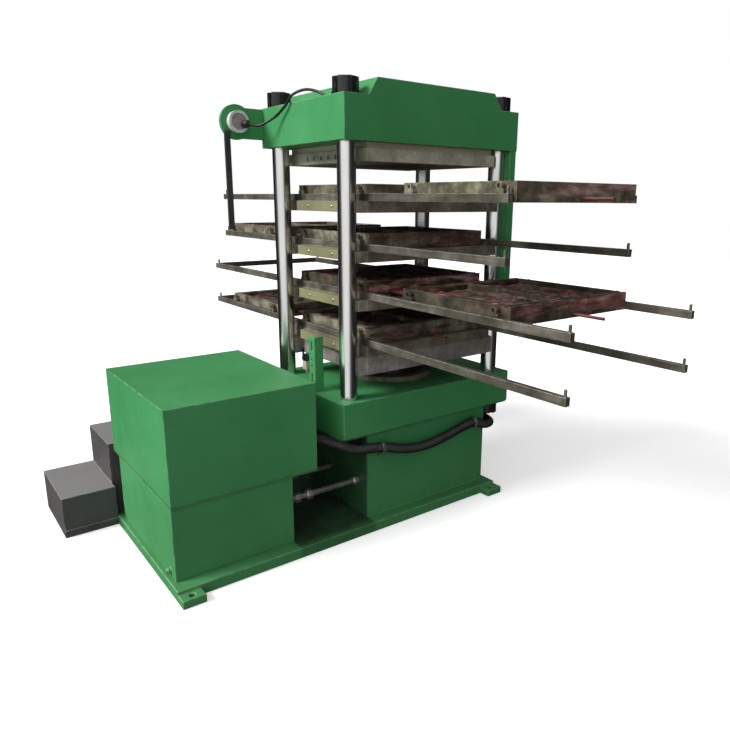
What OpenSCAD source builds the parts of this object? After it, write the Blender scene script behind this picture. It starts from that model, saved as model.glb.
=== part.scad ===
// Four daylight column press for moulded rubber tiles, with its hydraulic power unit
// Millimetres. Origin on the floor under the ram axis, X along the skid, Y along the mould rails, Z up

/* [Skid] */
// Width of the skid plate along Y
base_w = 784; // [720:1:1000]
// Thickness of the skid plate
base_h = 45; // [30:1:80]
// Skid reach beyond the bed box on the right
base_over = 28; // [10:1:120]
// Length of a foot pad along X
pad_l = 92; // [60:1:140]
// Reach of a foot pad beyond the skid side
pad_reach = 56; // [40:1:100]
// Thickness of a foot pad
pad_t = 32; // [15:1:40]
// Diameter of an anchor hole
anchor_d = 26; // [12:1:40]

/* [Bed] */
// Gap between the bed box and a lower column nut
bed_gap = 11; // [4:1:40]
// Inset of the bed box from the table sides
bed_set = 30; // [10:1:80]
// Height of the bed box
bed_h = 410; // [300:1:600]
// Wall of the bed box
bed_wall = 25; // [12:1:50]
// Table reach beyond a column axis along X
table_over = 75; // [60:1:140]
// Table reach beyond a column axis along Y
table_side = 75; // [60:1:140]
// Thickness of the bed table
table_h = 173; // [100:1:240]
// Rounding of the long lower edges of the table
table_edge = 14; // [4:1:30]

/* [Columns and beam] */
// Column diameter
column_d = 80; // [60:1:84]
// Distance of a column axis from the beam end
column_edge = 57; // [45:1:90]
// Distance of a column axis from the beam side
column_side = 75; // [64:1:110]
// Diameter of the threaded column necks
neck_d = 70; // [50:1:76]
// Play of a neck in its hole
neck_play = 0.5; // [0.2:0.1:1]
// Diameter of a column nut
nut_d = 108; // [95:1:116]
// Height of an upper column nut
nut_h = 65; // [40:1:90]
// Height of a lower column nut
low_nut_h = 52; // [30:1:80]
// Width of a wrench slot in a nut
nut_slot = 14; // [8:1:20]
// Depth of a wrench slot in a nut
nut_slot_depth = 9; // [5:1:14]
// Neck length beyond a nut
neck_out = 5; // [2:1:20]
// Length of the top beam along X
beam_l = 994; // [985:1:1200]
// Width of the top beam along Y
beam_w = 710; // [680:1:900]
// Height of the beam without its crown
beam_h = 176; // [120:1:260]
// Gap between the crown and an upper column nut
crown_gap = 8; // [3:1:60]
// Slope length of each crown end
crown_slope = 45; // [10:1:120]
// Crown height
crown_h = 69; // [40:1:100]

/* [Cylinder and ram] */
// Ram diameter
ram_d = 250; // [180:1:260]
// Ram height seen above the table when open
ram_show = 110; // [80:1:150]
// Length of the ram
ram_l = 628; // [560:1:640]
// Radial play of the ram in its gland
ram_play = 0.3; // [0.2:0.1:1]
// Radial oil space round the ram
oil_gap = 3; // [2:0.5:6]
// Wall of the main cylinder
cyl_wall = 36; // [25:1:45]
// Flange diameter of the main cylinder
cyl_flange_d = 420; // [390:1:460]
// Flange thickness of the main cylinder
cyl_flange_t = 24; // [15:1:40]
// Height of the gland ring
gland_h = 20; // [10:1:30]
// Gland ring diameter
gland_d = 330; // [310:1:350]
// Number of gland screws
gland_n = 12; // [6:1:24]
// Head diameter of a gland screw
gland_head_d = 20; // [14:1:26]
// Head height of a gland screw
gland_head_h = 12; // [8:1:16]
// Bore of the pressure port
port_d = 24; // [14:1:30]

/* [Platens] */
// Gap between a platen edge and a column
platen_gap = 28; // [10:1:31]
// Inset of a platen from the beam side
platen_set = 25; // [15:1:60]
// Thickness of a moving platen
platen_t = 48; // [40:1:70]
// Height from one platen to the next
layer_pitch = 208; // [190:1:260]
// Thickness of the moving table
lift_t = 80; // [60:1:100]
// Rib thickness under the moving table
lift_rib = 22; // [12:1:30]
// Thickness of the fixed top platen
top_platen_t = 52; // [40:1:70]
// Thickness of the heat board over the top platen
board_t = 25; // [12:1:40]
// Inset of the heat board from the platen edges
board_inset = 12; // [0:1:40]
// Diameter of a heater bore
heater_d = 20; // [12:1:26]
// Number of heater bores in a platen
heater_n = 6; // [2:1:10]
// Spacing of the heater bores
heater_pitch = 60; // [40:1:66]
// Metal left beyond the end of a heater bore
heater_stop = 84; // [40:1:300]
// Guide shoe reach from the platen edge
shoe_reach = 42; // [30:1:60]
// Guide shoe width along Y
shoe_w = 86; // [60:1:100]
// Play of a guide shoe round its column
shoe_play = 0.4; // [0.2:0.1:1]
// Gap between a heater cover and a guide shoe
cover_gap = 32; // [4:1:80]
// Depth of a heater cover along X
cover_d = 32; // [20:1:50]
// Height of a heater cover
cover_h = 44; // [30:1:47]
// Sheet of a heater cover
cover_wall = 2; // [1:0.5:4]

/* [Rails] */
// Inset of a rail centre from the platen edge
rail_set = 17; // [13:1:22]
// Rail width
rail_w = 22; // [14:1:26]
// Rail height
rail_h = 30; // [24:1:44]
// Front reach of the two lower rail pairs
rail_front_low = 1400; // [1200:1:1600]
// Back reach of the two lower rail pairs
rail_back_low = 1316; // [1200:1:1600]
// Front reach of the two upper rail pairs
rail_front_up = 1114; // [1108:1:1600]
// Back reach of the two upper rail pairs
rail_back_up = 1140; // [1130:1:1600]
// Stop pin diameter
pin_d = 11; // [8:1:18]
// Stop pin height above the rail
pin_h = 24; // [20:1:34]
// Inset of a stop pin from the rail end
pin_inset = 11; // [9:1:13]
// Weld gap at each end of the cross bar
weld_gap = 0.2; // [0.1:0.1:1]
// Thickness of the rear cross bar
cross_t = 14; // [8:1:24]

/* [Moulds] */
// Mould length along Y
mold_l = 590; // [500:1:620]
// Gap between a mould and a rail
mold_gap = 6; // [4:1:16]
// Mould height
mold_h = 70; // [60:1:78]
// Play under a mould
mold_lift = 1; // [0.5:0.5:3]
// Distance between the two moulds of a layer
mold_pitch = 830; // [700:1:835]
// Rim at each end of a cavity
cavity_end = 45; // [30:1:90]
// Rim at the side of a cavity
cavity_rim = 32; // [24:1:70]
// Cavity depth
cavity_d = 26; // [10:1:40]
// Web between the two cavities
cavity_web = 40; // [20:1:60]
// Groove width of the tray rim
rim_groove = 10; // [4:1:16]
// Groove depth of the tray rim
rim_depth = 5; // [2:1:8]
// Distance of a lug from the mould centre
lug_at = 236; // [180:1:240]
// Lug length along Y
lug_l = 46; // [30:1:50]
// Lug width along X
lug_w = 24; // [18:1:28]
// Eye bore of a lug
lug_eye = 15; // [8:1:18]
// Play of a lug over its rail
lug_play = 0.3; // [0.2:0.1:1]
// Draw bar width
draw_w = 40; // [20:1:60]
// Draw bar thickness
draw_t = 12; // [8:1:20]
// Draw bar spacing along X
draw_px = 420; // [200:1:560]
// Pull rod diameter
pull_d = 12; // [8:1:16]
// Pull rod reach from the mould front
pull_reach = 139; // [80:1:180]
// Height of the pull rod above the mould's foot
pull_up = 15; // [10:1:40]

/* [Power unit] */
// Inset of the power unit from the skid's left end
unit_inset = 20; // [5:1:60]
// Gap between the power unit and the bed table
unit_gap = 125; // [90:1:300]
// Tank length along X
tank_l = 521; // [400:1:560]
// Tank front face at Y
tank_front = 324; // [250:1:329]
// Tank back face at Y
tank_back = 350; // [300:1:380]
// Tank height
tank_h = 307; // [200:1:400]
// Tank wall
tank_wall = 6; // [3:1:12]
// Boss diameter of the drain plug
drain_d = 26; // [18:1:36]
// Deck plate thickness
deck_t = 10; // [6:1:20]
// Hood length along X
hood_l = 641; // [600:1:660]
// Hood front face at Y
hood_front = 330; // [325:1:380]
// Hood back face at Y
hood_back = 430; // [380:1:430]
// Hood height
hood_h = 386; // [330:1:480]
// Hood sheet
hood_wall = 3; // [2:0.5:6]
// Motor frame diameter
motor_d = 210; // [160:1:230]
// Motor length
motor_l = 330; // [240:1:360]
// Distance of the motor axis from the hood side
motor_in = 200; // [120:1:320]
// Motor shaft height over the deck
motor_axis_h = 140; // [125:1:170]
// Number of cooling ribs round the motor
motor_ribs = 24; // [12:1:36]
// Motor shaft diameter
shaft_d = 28; // [18:1:38]
// Radial play of the shaft
shaft_play = 0.08; // [0.02:0.01:0.1]
// Depth of a shaft end in the motor or the pump
shaft_seat = 18; // [10:1:30]
// Gap between motor and pump
coupling_gap = 70; // [60:1:100]
// Coupling diameter
coupling_d = 78; // [60:1:90]
// Coupling length
coupling_l = 56; // [40:1:58]
// Pump body diameter
pump_d = 120; // [90:1:140]
// Pump length
pump_l = 130; // [90:1:180]
// Height of the suction strainer over the skid
suction_gap = 67; // [20:1:140]
// Valve block length along X
valve_l = 90; // [70:1:100]
// Valve block width along Y
valve_w = 260; // [220:1:300]
// Valve block height
valve_h = 110; // [80:1:160]
// Solenoid diameter
coil_d = 46; // [36:1:60]
// Solenoid length
coil_l = 70; // [40:1:90]
// Pressure pipe diameter
press_pipe_d = 34; // [26:1:42]
// Return pipe diameter
return_pipe_d = 42; // [30:1:50]
// Pipe bend radius
pipe_bend = 70; // [56:1:90]
// Height of the pressure pipe over the skid
press_pipe_z = 150; // [125:1:220]
// Height of the return pipe over the skid
return_pipe_z = 205; // [150:1:230]

/* [Wiring and switches] */
// Conduit diameter
conduit_d = 44; // [30:1:48]
// Height of the conduit outlet over the deck
conduit_up = 120; // [60:1:300]
// Conduit clip thickness
clip_t = 3; // [2:0.5:5]
// Conduit clip width
clip_w = 18; // [10:1:30]
// Conduit gland diameter across corners
gland_nut_d = 64; // [56:1:80]
// Conduit gland length
gland_nut_l = 26; // [18:1:34]
// Arm thickness along Y
arm_t = 18; // [10:1:30]
// Arm end radius
arm_r = 77; // [75:1:100]
// Arm reach from the beam end
arm_reach = 135; // [110:1:180]
// Encoder disc diameter
disc_d = 98; // [90:1:140]
// Encoder disc thickness
disc_t = 30; // [15:1:40]
// Sensor plug diameter
plug_d = 36; // [24:1:44]
// Sensor cable diameter
cable_d = 12; // [8:1:16]
// Run of the encoder cable along Y to its gland
cable_reach = 500; // [360:1:560]
// Inset of the cable gland from the beam end
cable_in = 90; // [60:1:110]
// Hanger bar width
hanger_w = 26; // [16:1:36]
// Hanger bar length
hanger_l = 440; // [300:1:560]
// Limit post height
post_h = 258; // [200:1:300]
// Limit post width along Y
post_w = 55; // [40:1:70]
// Limit post sheet
post_t = 6; // [4:1:10]
// Slot width in the limit post
post_slot = 12; // [8:1:18]
// Limit switch width along Y
switch_w = 36; // [28:1:44]
// Limit switch height
switch_h = 72; // [60:1:90]
// Limit switch depth along X
switch_d = 34; // [26:1:40]
// Lever pivot pin diameter
lever_pin_d = 8; // [5:1:10]
// Lever length
lever_l = 42; // [30:1:50]
// Duct width along X
duct_w = 40; // [30:1:46]
// Duct depth along Y
duct_d = 34; // [20:1:36]
// Duct length
duct_l = 640; // [400:1:700]

/* [Operator step] */
// Lower tread length along X
step_low_l = 230; // [200:1:400]
// Upper tread length along X
step_up_l = 300; // [200:1:400]
// Rise of one tread
step_rise = 190; // [150:1:200]
// Back face of the step at Y
step_back = 790; // [650:1:900]
// Step sheet
step_t = 4; // [3:1:8]

/* [Hidden] */
col_x = beam_l / 2 - column_edge;
col_y = beam_w / 2 - column_side;
table_l = 2 * (col_x + table_over);
table_w = 2 * (col_y + table_side);
bed_l = 2 * (col_x - nut_d / 2 - bed_gap);
bed_w = table_w - 2 * bed_set;
base_right = bed_l / 2 + base_over;
base_left = -table_l / 2 - unit_gap - hood_l - unit_inset;
crown_foot = 2 * (col_x - nut_d / 2 - crown_gap);
crown_top = crown_foot - 2 * crown_slope;
platen_l = 2 * (col_x - column_d / 2 - platen_gap);
platen_w = beam_w - 2 * platen_set;
heater_depth = platen_l - heater_stop;
cover_l = 2 * (col_y - shoe_w / 2 - cover_gap);
rail_gauge = platen_l - 2 * rail_set;
mold_w = rail_gauge - rail_w - 2 * mold_gap;
cavity_l = mold_l - 2 * cavity_end;
cavity_w = (mold_w - cavity_web) / 2 - cavity_rim;
bed_z = base_h;
table_z = bed_z + bed_h;
table_top = table_z + table_h;
lift_z = table_top + ram_show;
p4_top = lift_z + lift_t + platen_t;
beam_z = p4_top + 4 * layer_pitch - platen_t + top_platen_t + board_t;
beam_top = beam_z + beam_h;
top_platen_z = beam_z - board_t - top_platen_t;
cyl_d = ram_d + 2 * (oil_gap + cyl_wall);
half_pl = platen_l / 2;
half_pw = platen_w / 2;
cover_x = half_pl;
unit_x0 = base_left + unit_inset;
tank_x1 = unit_x0 + tank_l;
deck_z = base_h + tank_h;
hood_z = deck_z + deck_t;
hood_x1 = unit_x0 + hood_l;
motor_x = unit_x0 + motor_in;
motor_z = hood_z + motor_axis_h;
motor_y0 = -hood_front + 70;
motor_y1 = motor_y0 + motor_l;
pump_y0 = motor_y1 + coupling_gap;
pump_y1 = pump_y0 + pump_l;
press_x = (tank_x1 + hood_x1) / 2 + 12;
return_x = tank_x1 + pipe_bend + 6;
return_y = 80;
valve_x = hood_x1 - hood_wall - 6 - valve_l / 2;
arm_y = beam_w / 2 - 2;
arm_x = -beam_l / 2 - arm_reach;
arm_z = beam_z + 108;
cable_z = beam_top + cable_d / 2 + 1;
post_x = -table_l / 2 + 12;
post_y = -75;
switch_y = post_y + post_w / 2 + switch_w / 2;
switch_z = table_top + 96;
pivot_z = switch_z + switch_h - 16;
conduit_y = -max(bed_w / 2, col_y + nut_d / 2) - conduit_d / 2 - 3;
conduit_z = table_z - conduit_d / 2 - 4;
gland_y = -bed_w / 2 + 140;
gland_z = table_z - low_nut_h - neck_out - conduit_d / 2 - 18;
duct_x = beam_l / 2 - 2 - duct_w;
duct_y = -beam_w / 2 + 3;
step_y0 = base_w / 2;
step_y1 = base_w / 2 + pad_reach + 2;
step_x1 = base_left;

function ptop(k) = p4_top + (4 - k) * layer_pitch;
function railf(k) = k > 2 ? rail_front_low : rail_front_up;
function railb(k) = k > 2 ? rail_back_low : rail_back_up;
// Layers one and three are drawn out to the front, two and four to the back
function front_y(k) = k % 2 == 1 ? -mold_pitch : 0;

// Box from its least corner and its far corner
module block(a, b) {
  translate(a) cube(b - a);
}

module at_columns() {
  for (sx = [-1, 1], sy = [-1, 1])
    translate([sx * col_x, sy * col_y, 0]) children();
}

// Pillar along X, from x0 to x1
module rod_x(d, x0, x1) {
  translate([x0, 0, 0]) rotate([0, 90, 0]) cylinder(d = d, h = x1 - x0, $fn = 64);
}

// Pillar along Y, from y0 to y1
module rod_y(d, y0, y1) {
  translate([0, y0, 0]) rotate([-90, 0, 0]) cylinder(d = d, h = y1 - y0, $fn = 64);
}

function unit(v) = v / norm(v);

// Smooth curve through points, eased between neighbours
function curve_at(p, i, t) =
  let (n = len(p), a = p[max(i - 1, 0)], b = p[i], c = p[min(i + 1, n - 1)], d = p[min(i + 2, n - 1)])
  0.5 * (2 * b + (c - a) * t + (2 * a - 5 * b + 4 * c - d) * t * t + (3 * b - a - 3 * c + d) * t * t * t);
function curve(p, m) = [for (i = [0 : len(p) - 2], j = [0 : m - 1]) curve_at(p, i, j / m), p[len(p) - 1]];

// Round cord along a curve, with flat ends
module cord(path, d, sides) {
  n = len(path);
  tang = [for (i = [0 : n - 1]) unit(path[min(i + 1, n - 1)] - path[max(i - 1, 0)])];
  side = [for (i = [0 : n - 1]) unit(cross(tang[i], [0.13, 0.11, 0.98]))];
  ring = [for (i = [0 : n - 1], j = [0 : sides - 1])
    path[i] + d / 2 * (cos(360 * j / sides) * side[i] + sin(360 * j / sides) * cross(side[i], tang[i]))];
  walls = [for (i = [0 : n - 2], j = [0 : sides - 1])
    let (k = (j + 1) % sides)
    [i * sides + k, (i + 1) * sides + k, (i + 1) * sides + j, i * sides + j]];
  first = [[for (j = [sides - 1 : -1 : 0]) j]];
  last = [[for (j = [0 : sides - 1]) (n - 1) * sides + j]];
  polyhedron(ring, concat(walls, first, last), convexity = 6);
}

// Skid plate with four foot pads for floor anchors
module base_plate() {
  color([0.18, 0.50, 0.27]) difference() {
    union() {
      block([base_left, -base_w / 2, 0], [base_right, base_w / 2, base_h]);
      for (x = [base_left, base_right - pad_l], s = [-1, 1])
        translate([x, s > 0 ? base_w / 2 - 20 : -base_w / 2 - pad_reach, 0])
          cube([pad_l, pad_reach + 20, pad_t]);
    }
    for (x = [base_left + pad_l / 2, base_right - pad_l / 2], s = [-1, 1])
      translate([x, s * (base_w / 2 + pad_reach / 2), -1]) cylinder(d = anchor_d, h = pad_t + 2, $fn = 48);
  }
}

// Welded bed box round the cylinder, with a pipe hole on the power unit side
module bed_body() {
  color([0.18, 0.50, 0.27]) difference() {
    block([-bed_l / 2, -bed_w / 2, bed_z], [bed_l / 2, bed_w / 2, table_z]);
    block([-bed_l / 2 + bed_wall, -bed_w / 2 + bed_wall, bed_z - 1],
      [bed_l / 2 - bed_wall, bed_w / 2 - bed_wall, table_z + 1]);
    translate([0, 0, bed_z + press_pipe_z])
      rod_x(press_pipe_d + 16, -bed_l / 2 - 1, -bed_l / 2 + bed_wall + 1);
  }
}

// Thick table that takes the columns and the cylinder, with eased lower edges
module bed_table() {
  color([0.18, 0.50, 0.27]) difference() {
    translate([-table_l / 2, 0, table_z]) rotate([90, 0, 90]) linear_extrude(table_l) polygon([
      [-table_w / 2 + table_edge, 0], [table_w / 2 - table_edge, 0], [table_w / 2, table_edge],
      [table_w / 2, table_h], [-table_w / 2, table_h], [-table_w / 2, table_edge]]);
    translate([0, 0, table_z - 1]) cylinder(d = cyl_d + 2 * neck_play, h = table_h + 2, $fn = 96);
    at_columns() translate([0, 0, table_z - 1])
      cylinder(d = neck_d + 2 * neck_play, h = table_h + 2, $fn = 64);
  }
}

// Main cylinder with a closed foot and a top flange
module main_cylinder() {
  color([0.45, 0.46, 0.47]) difference() {
    union() {
      translate([0, 0, bed_z]) cylinder(d = cyl_d, h = table_top - bed_z, $fn = 96);
      translate([0, 0, table_top]) cylinder(d = cyl_flange_d, h = cyl_flange_t, $fn = 96);
    }
    translate([0, 0, lift_z - ram_l - 8])
      cylinder(d = ram_d + 2 * oil_gap, h = table_top + cyl_flange_t - lift_z + ram_l + 9, $fn = 96);
    translate([0, 0, bed_z + press_pipe_z]) rod_x(port_d, -cyl_d / 2 - 1, -ram_d / 2);
  }
}

// Gland that seals and guides the ram
module gland_ring() {
  color([0.62, 0.50, 0.25]) translate([0, 0, table_top + cyl_flange_t]) difference() {
    cylinder(d = gland_d, h = gland_h, $fn = 96);
    translate([0, 0, -1]) cylinder(d = ram_d + 2 * ram_play, h = gland_h + 2, $fn = 96);
  }
}

module gland_screws() {
  color([0.2, 0.2, 0.21]) for (i = [0 : gland_n - 1])
    rotate([0, 0, 360 * i / gland_n])
      translate([(ram_d + gland_d) / 4, 0, table_top + cyl_flange_t + gland_h]) difference() {
        cylinder(d = gland_head_d, h = gland_head_h, $fn = 32);
        translate([0, 0, gland_head_h / 2])
          cylinder(d = gland_head_d * 0.55, h = gland_head_h, $fn = 6);
      }
}

// Four columns with shoulders and threaded necks
module columns() {
  color([0.80, 0.81, 0.82]) at_columns() {
    translate([0, 0, table_top]) cylinder(d = column_d, h = beam_z - table_top, $fn = 64);
    translate([0, 0, table_z - low_nut_h - neck_out])
      cylinder(d = neck_d, h = table_h + low_nut_h + neck_out + 1, $fn = 64);
    translate([0, 0, beam_z - 1])
      cylinder(d = neck_d, h = beam_h + nut_h + neck_out + 1, $fn = 64);
  }
}

// Round nut with wrench slots
module slotted_nut(h) {
  difference() {
    cylinder(d = nut_d, h = h, $fn = 64);
    translate([0, 0, -1]) cylinder(d = neck_d + 2 * neck_play, h = h + 2, $fn = 64);
    for (a = [0 : 60 : 300])
      rotate([0, 0, a + 15]) translate([nut_d / 2 - nut_slot_depth, -nut_slot / 2, -1])
        cube([nut_slot_depth + 1, nut_slot, h + 2]);
  }
}

module column_nuts() {
  color([0.10, 0.10, 0.11]) at_columns() {
    translate([0, 0, beam_top]) slotted_nut(nut_h);
    translate([0, 0, table_z - low_nut_h]) slotted_nut(low_nut_h);
  }
}

// Top beam with its sloped crown
module top_beam() {
  color([0.20, 0.55, 0.30]) difference() {
    translate([0, beam_w / 2, beam_z]) rotate([90, 0, 0]) linear_extrude(beam_w) polygon([
      [-beam_l / 2, 0], [beam_l / 2, 0], [beam_l / 2, beam_h], [crown_foot / 2, beam_h],
      [crown_top / 2, beam_h + crown_h], [-crown_top / 2, beam_h + crown_h],
      [-crown_foot / 2, beam_h], [-beam_l / 2, beam_h]]);
    at_columns() translate([0, 0, beam_z - 1])
      cylinder(d = neck_d + 2 * neck_play, h = beam_h + 2, $fn = 64);
  }
}

module heat_board() {
  color([0.72, 0.68, 0.55]) block(
    [-half_pl + board_inset, -half_pw + board_inset, beam_z - board_t],
    [half_pl - board_inset, half_pw - board_inset, beam_z]);
}

// Heated plate with a row of blind heater bores from the left edge
module heated_plate(t) {
  difference() {
    block([-half_pl, -half_pw, -t], [half_pl, half_pw, 0]);
    for (i = [0 : heater_n - 1])
      translate([0, (i - (heater_n - 1) / 2) * heater_pitch, -t / 2])
        rod_x(heater_d, -half_pl - 1, -half_pl + heater_depth);
  }
}

module top_platen() {
  color([0.47, 0.45, 0.42]) translate([0, 0, top_platen_z + top_platen_t]) heated_plate(top_platen_t);
}

// Oil tank under the deck, open at its top
module oil_tank() {
  color([0.20, 0.55, 0.30]) translate([0, -tank_front + 60, base_h + drain_d]) {
    rod_x(drain_d, unit_x0 - 12, unit_x0 + 1);
    translate([unit_x0 - 18, 0, 0]) rotate([0, 90, 0]) cylinder(d = drain_d - 6, h = 7, $fn = 6);
  }
  color([0.20, 0.55, 0.30]) difference() {
    block([unit_x0, -tank_front, base_h], [tank_x1, tank_back, deck_z]);
    block([unit_x0 + tank_wall, -tank_front + tank_wall, base_h + tank_wall],
      [tank_x1 - tank_wall, tank_back - tank_wall, deck_z + 1]);
    translate([0, return_y, base_h + return_pipe_z])
      rod_x(return_pipe_d, tank_x1 - tank_wall - 1, tank_x1 + 1);
  }
}

// Deck over the tank that carries the motor, the pump and the hood
module deck_plate() {
  color([0.18, 0.50, 0.27]) difference() {
    block([unit_x0, -hood_front, deck_z], [hood_x1, hood_back, hood_z]);
    translate([press_x, 0, deck_z - 1]) cylinder(d = press_pipe_d + 6, h = deck_t + 2, $fn = 48);
    translate([return_x, return_y, deck_z - 1]) cylinder(d = return_pipe_d + 6, h = deck_t + 2, $fn = 48);
    translate([motor_x, (pump_y0 + pump_y1) / 2, deck_z - 1]) cylinder(d = 46, h = deck_t + 2, $fn = 48);
  }
}

// Sheet hood over the power unit, with the conduit hole in its right side
module power_hood() {
  color([0.20, 0.55, 0.30]) difference() {
    block([unit_x0, -hood_front, hood_z], [hood_x1, hood_back, hood_z + hood_h]);
    block([unit_x0 + hood_wall, -hood_front + hood_wall, hood_z - 1],
      [hood_x1 - hood_wall, hood_back - hood_wall, hood_z + hood_h - hood_wall]);
    translate([0, -hood_front + conduit_d / 2 + 14, hood_z + conduit_up])
      rod_x(conduit_d + 8, hood_x1 - hood_wall - 1, hood_x1 + 1);
  }
}

// Foot mounted motor with cooling ribs, shaft toward the pump
module pump_motor() {
  color([0.25, 0.30, 0.36]) translate([motor_x, 0, motor_z]) {
    difference() {
      union() {
        rod_y(motor_d - 16, motor_y0 + 40, motor_y1);
        rod_y(motor_d, motor_y0, motor_y0 + 46);
        rod_y(motor_d, motor_y1 - 20, motor_y1);
        for (i = [0 : motor_ribs - 1])
          rotate([0, 360 * (i + 0.5) / motor_ribs, 0])
            block([motor_d / 2 - 14, motor_y0 + 36, -2], [motor_d / 2 - 3, motor_y1 - 14, 2]);
        for (y = [motor_y0 + 90, motor_y1 - 80])
          block([-motor_d / 2 + 5, y, -motor_axis_h], [motor_d / 2 - 5, y + 40, -motor_d / 2 + 26]);
        block([-50, motor_y0 + 100, motor_d / 2 - 14], [50, motor_y0 + 200, motor_d / 2 + 34]);
      }
      rod_y(motor_d - 40, motor_y0 - 1, motor_y0 + 8);
      rod_y(shaft_d + 2 * shaft_play, motor_y1 - shaft_seat - 1, motor_y1 + 1);
    }
  }
}

// Gear pump on its stand, with the suction stub that dips into the tank
module hydraulic_pump() {
  color([0.35, 0.36, 0.38]) translate([motor_x, 0, motor_z]) {
    difference() {
      union() {
        rod_y(pump_d, pump_y0, pump_y1);
        rod_y(pump_d + 30, pump_y0, pump_y0 + 16);
      }
      rod_y(shaft_d + 2 * shaft_play, pump_y0 - 1, pump_y0 + shaft_seat + 1);
    }
    block([-60, pump_y0, -motor_axis_h], [60, pump_y0 + 16, -pump_d / 2 + 10]);
    block([-60, pump_y0, -motor_axis_h], [60, pump_y1 - 10, -motor_axis_h + 12]);
    translate([0, (pump_y0 + pump_y1) / 2, -motor_axis_h - deck_t - tank_h + suction_gap + 40])
      cylinder(d = 44, h = motor_axis_h + deck_t + tank_h - suction_gap - 60, $fn = 48);
    translate([0, (pump_y0 + pump_y1) / 2, -motor_axis_h - deck_t - tank_h + suction_gap]) cylinder(d = 90, h = 70, $fn = 48);
  }
}

// Drive shaft with its coupling sleeve and four drive pins
module motor_coupling() {
  color([0.55, 0.16, 0.12]) translate([motor_x, 0, motor_z]) {
    rod_y(shaft_d, motor_y1 - shaft_seat, pump_y0 + shaft_seat);
    rod_y(coupling_d, motor_y1 + coupling_gap / 2 - coupling_l / 2, motor_y1 + coupling_gap / 2 + coupling_l / 2);
    for (a = [0 : 90 : 270]) rotate([0, a, 0])
      translate([coupling_d / 2 - 10, 0, 0])
        rod_y(14, motor_y1 + coupling_gap / 2 - coupling_l / 2 - 4, motor_y1 + coupling_gap / 2 + coupling_l / 2 + 4);
  }
}

// Valve block with three solenoid valves
module valve_block() {
  color([0.42, 0.43, 0.44]) {
    difference() {
      block([valve_x - valve_l / 2, -valve_w / 2, hood_z],
        [valve_x + valve_l / 2, valve_w / 2, hood_z + valve_h]);
      translate([press_x, 0, hood_z - 1]) cylinder(d = press_pipe_d, h = valve_h / 2 + 1, $fn = 48);
      translate([return_x, return_y, hood_z - 1]) cylinder(d = return_pipe_d, h = 21, $fn = 48);
    }
    for (y = [-valve_w / 2 + coil_d, 0, valve_w / 2 - coil_d])
      translate([valve_x, y, hood_z + valve_h - 1]) {
        translate([-24, -24, 0]) cube([48, 48, 22]);
        cylinder(d = coil_d, h = 22 + coil_l, $fn = 48);
      }
  }
}

// Pressure pipe from the valve block to the cylinder port, with two unions
module pressure_pipe() {
  color([0.60, 0.61, 0.62]) difference() {
    union() {
      translate([press_x, 0, bed_z + press_pipe_z + pipe_bend])
        cylinder(d = press_pipe_d, h = hood_z + valve_h / 2 - bed_z - press_pipe_z - pipe_bend, $fn = 48);
      translate([press_x + pipe_bend, 0, bed_z + press_pipe_z + pipe_bend]) rotate([90, 0, 0])
        rotate_extrude(angle = 90, start = 180, $fn = 96) translate([pipe_bend, 0]) circle(d = press_pipe_d, $fn = 48);
      translate([0, 0, bed_z + press_pipe_z]) rod_x(press_pipe_d, press_x + pipe_bend, -cyl_d / 2);
      translate([press_x + pipe_bend + 14, 0, bed_z + press_pipe_z]) rotate([0, 90, 0])
        cylinder(d = press_pipe_d + 20, h = 38, $fn = 6);
      translate([press_x, 0, deck_z - 60]) cylinder(d = press_pipe_d + 20, h = 34, $fn = 6);
    }
    translate([0, 0, bed_z + press_pipe_z]) rod_x(port_d, press_x + pipe_bend, -cyl_d / 2 + 1);
  }
}

// Return pipe from the deck back into the tank side
module return_pipe() {
  color([0.55, 0.56, 0.57]) {
    translate([return_x, return_y, base_h + return_pipe_z + pipe_bend])
      cylinder(d = return_pipe_d, h = hood_z + 20 - base_h - return_pipe_z - pipe_bend, $fn = 48);
    translate([return_x - pipe_bend, return_y, base_h + return_pipe_z + pipe_bend]) rotate([90, 0, 0])
      rotate_extrude(angle = 90, start = 270, $fn = 96) translate([pipe_bend, 0]) circle(d = return_pipe_d, $fn = 48);
    translate([0, return_y, base_h + return_pipe_z])
      rod_x(return_pipe_d, tank_x1 - tank_wall - 10, return_x - pipe_bend);
    translate([return_x, return_y, deck_z - 50]) cylinder(d = return_pipe_d + 22, h = 30, $fn = 6);
  }
}

// Black conduit from the hood along the bed front to the junction can
conduit_run = [
  [hood_x1 - 12, -hood_front + conduit_d / 2 + 14, hood_z + conduit_up],
  [hood_x1 + 40, -hood_front + conduit_d / 2 + 10, hood_z + conduit_up - 8],
  [-table_l / 2 - 24, conduit_y + 2, conduit_z + 22],
  [-table_l / 2 + 60, conduit_y, conduit_z - 16],
  [-312, conduit_y, conduit_z - 38],
  [-216, conduit_y, conduit_z - 66],
  [-120, conduit_y, conduit_z - 85],
  [-20, conduit_y, conduit_z - 86],
  [80, conduit_y, conduit_z - 70],
  [190, conduit_y, conduit_z - 46],
  [270, conduit_y, conduit_z - 36],
  [bed_l / 2 - 20, conduit_y, gland_z + 8],
  [bed_l / 2 + 36, conduit_y + 22, gland_z + 4],
  [bed_l / 2 + 72, gland_y - 84, gland_z],
  [bed_l / 2 + 70, gland_y - 30, gland_z],
  [bed_l / 2 + 44, gland_y - 4, gland_z],
  [bed_l / 2 + 24, gland_y, gland_z],
  [bed_l / 2 + 5, gland_y, gland_z]];

module cable_conduit() {
  color([0.07, 0.07, 0.08]) cord(curve(conduit_run, 4), conduit_d, 12);
}

// Two clips that hold the conduit to the bed front, and the gland where it enters the right wall
module conduit_fittings() {
  conduit_clips();
  conduit_gland();
}

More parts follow.
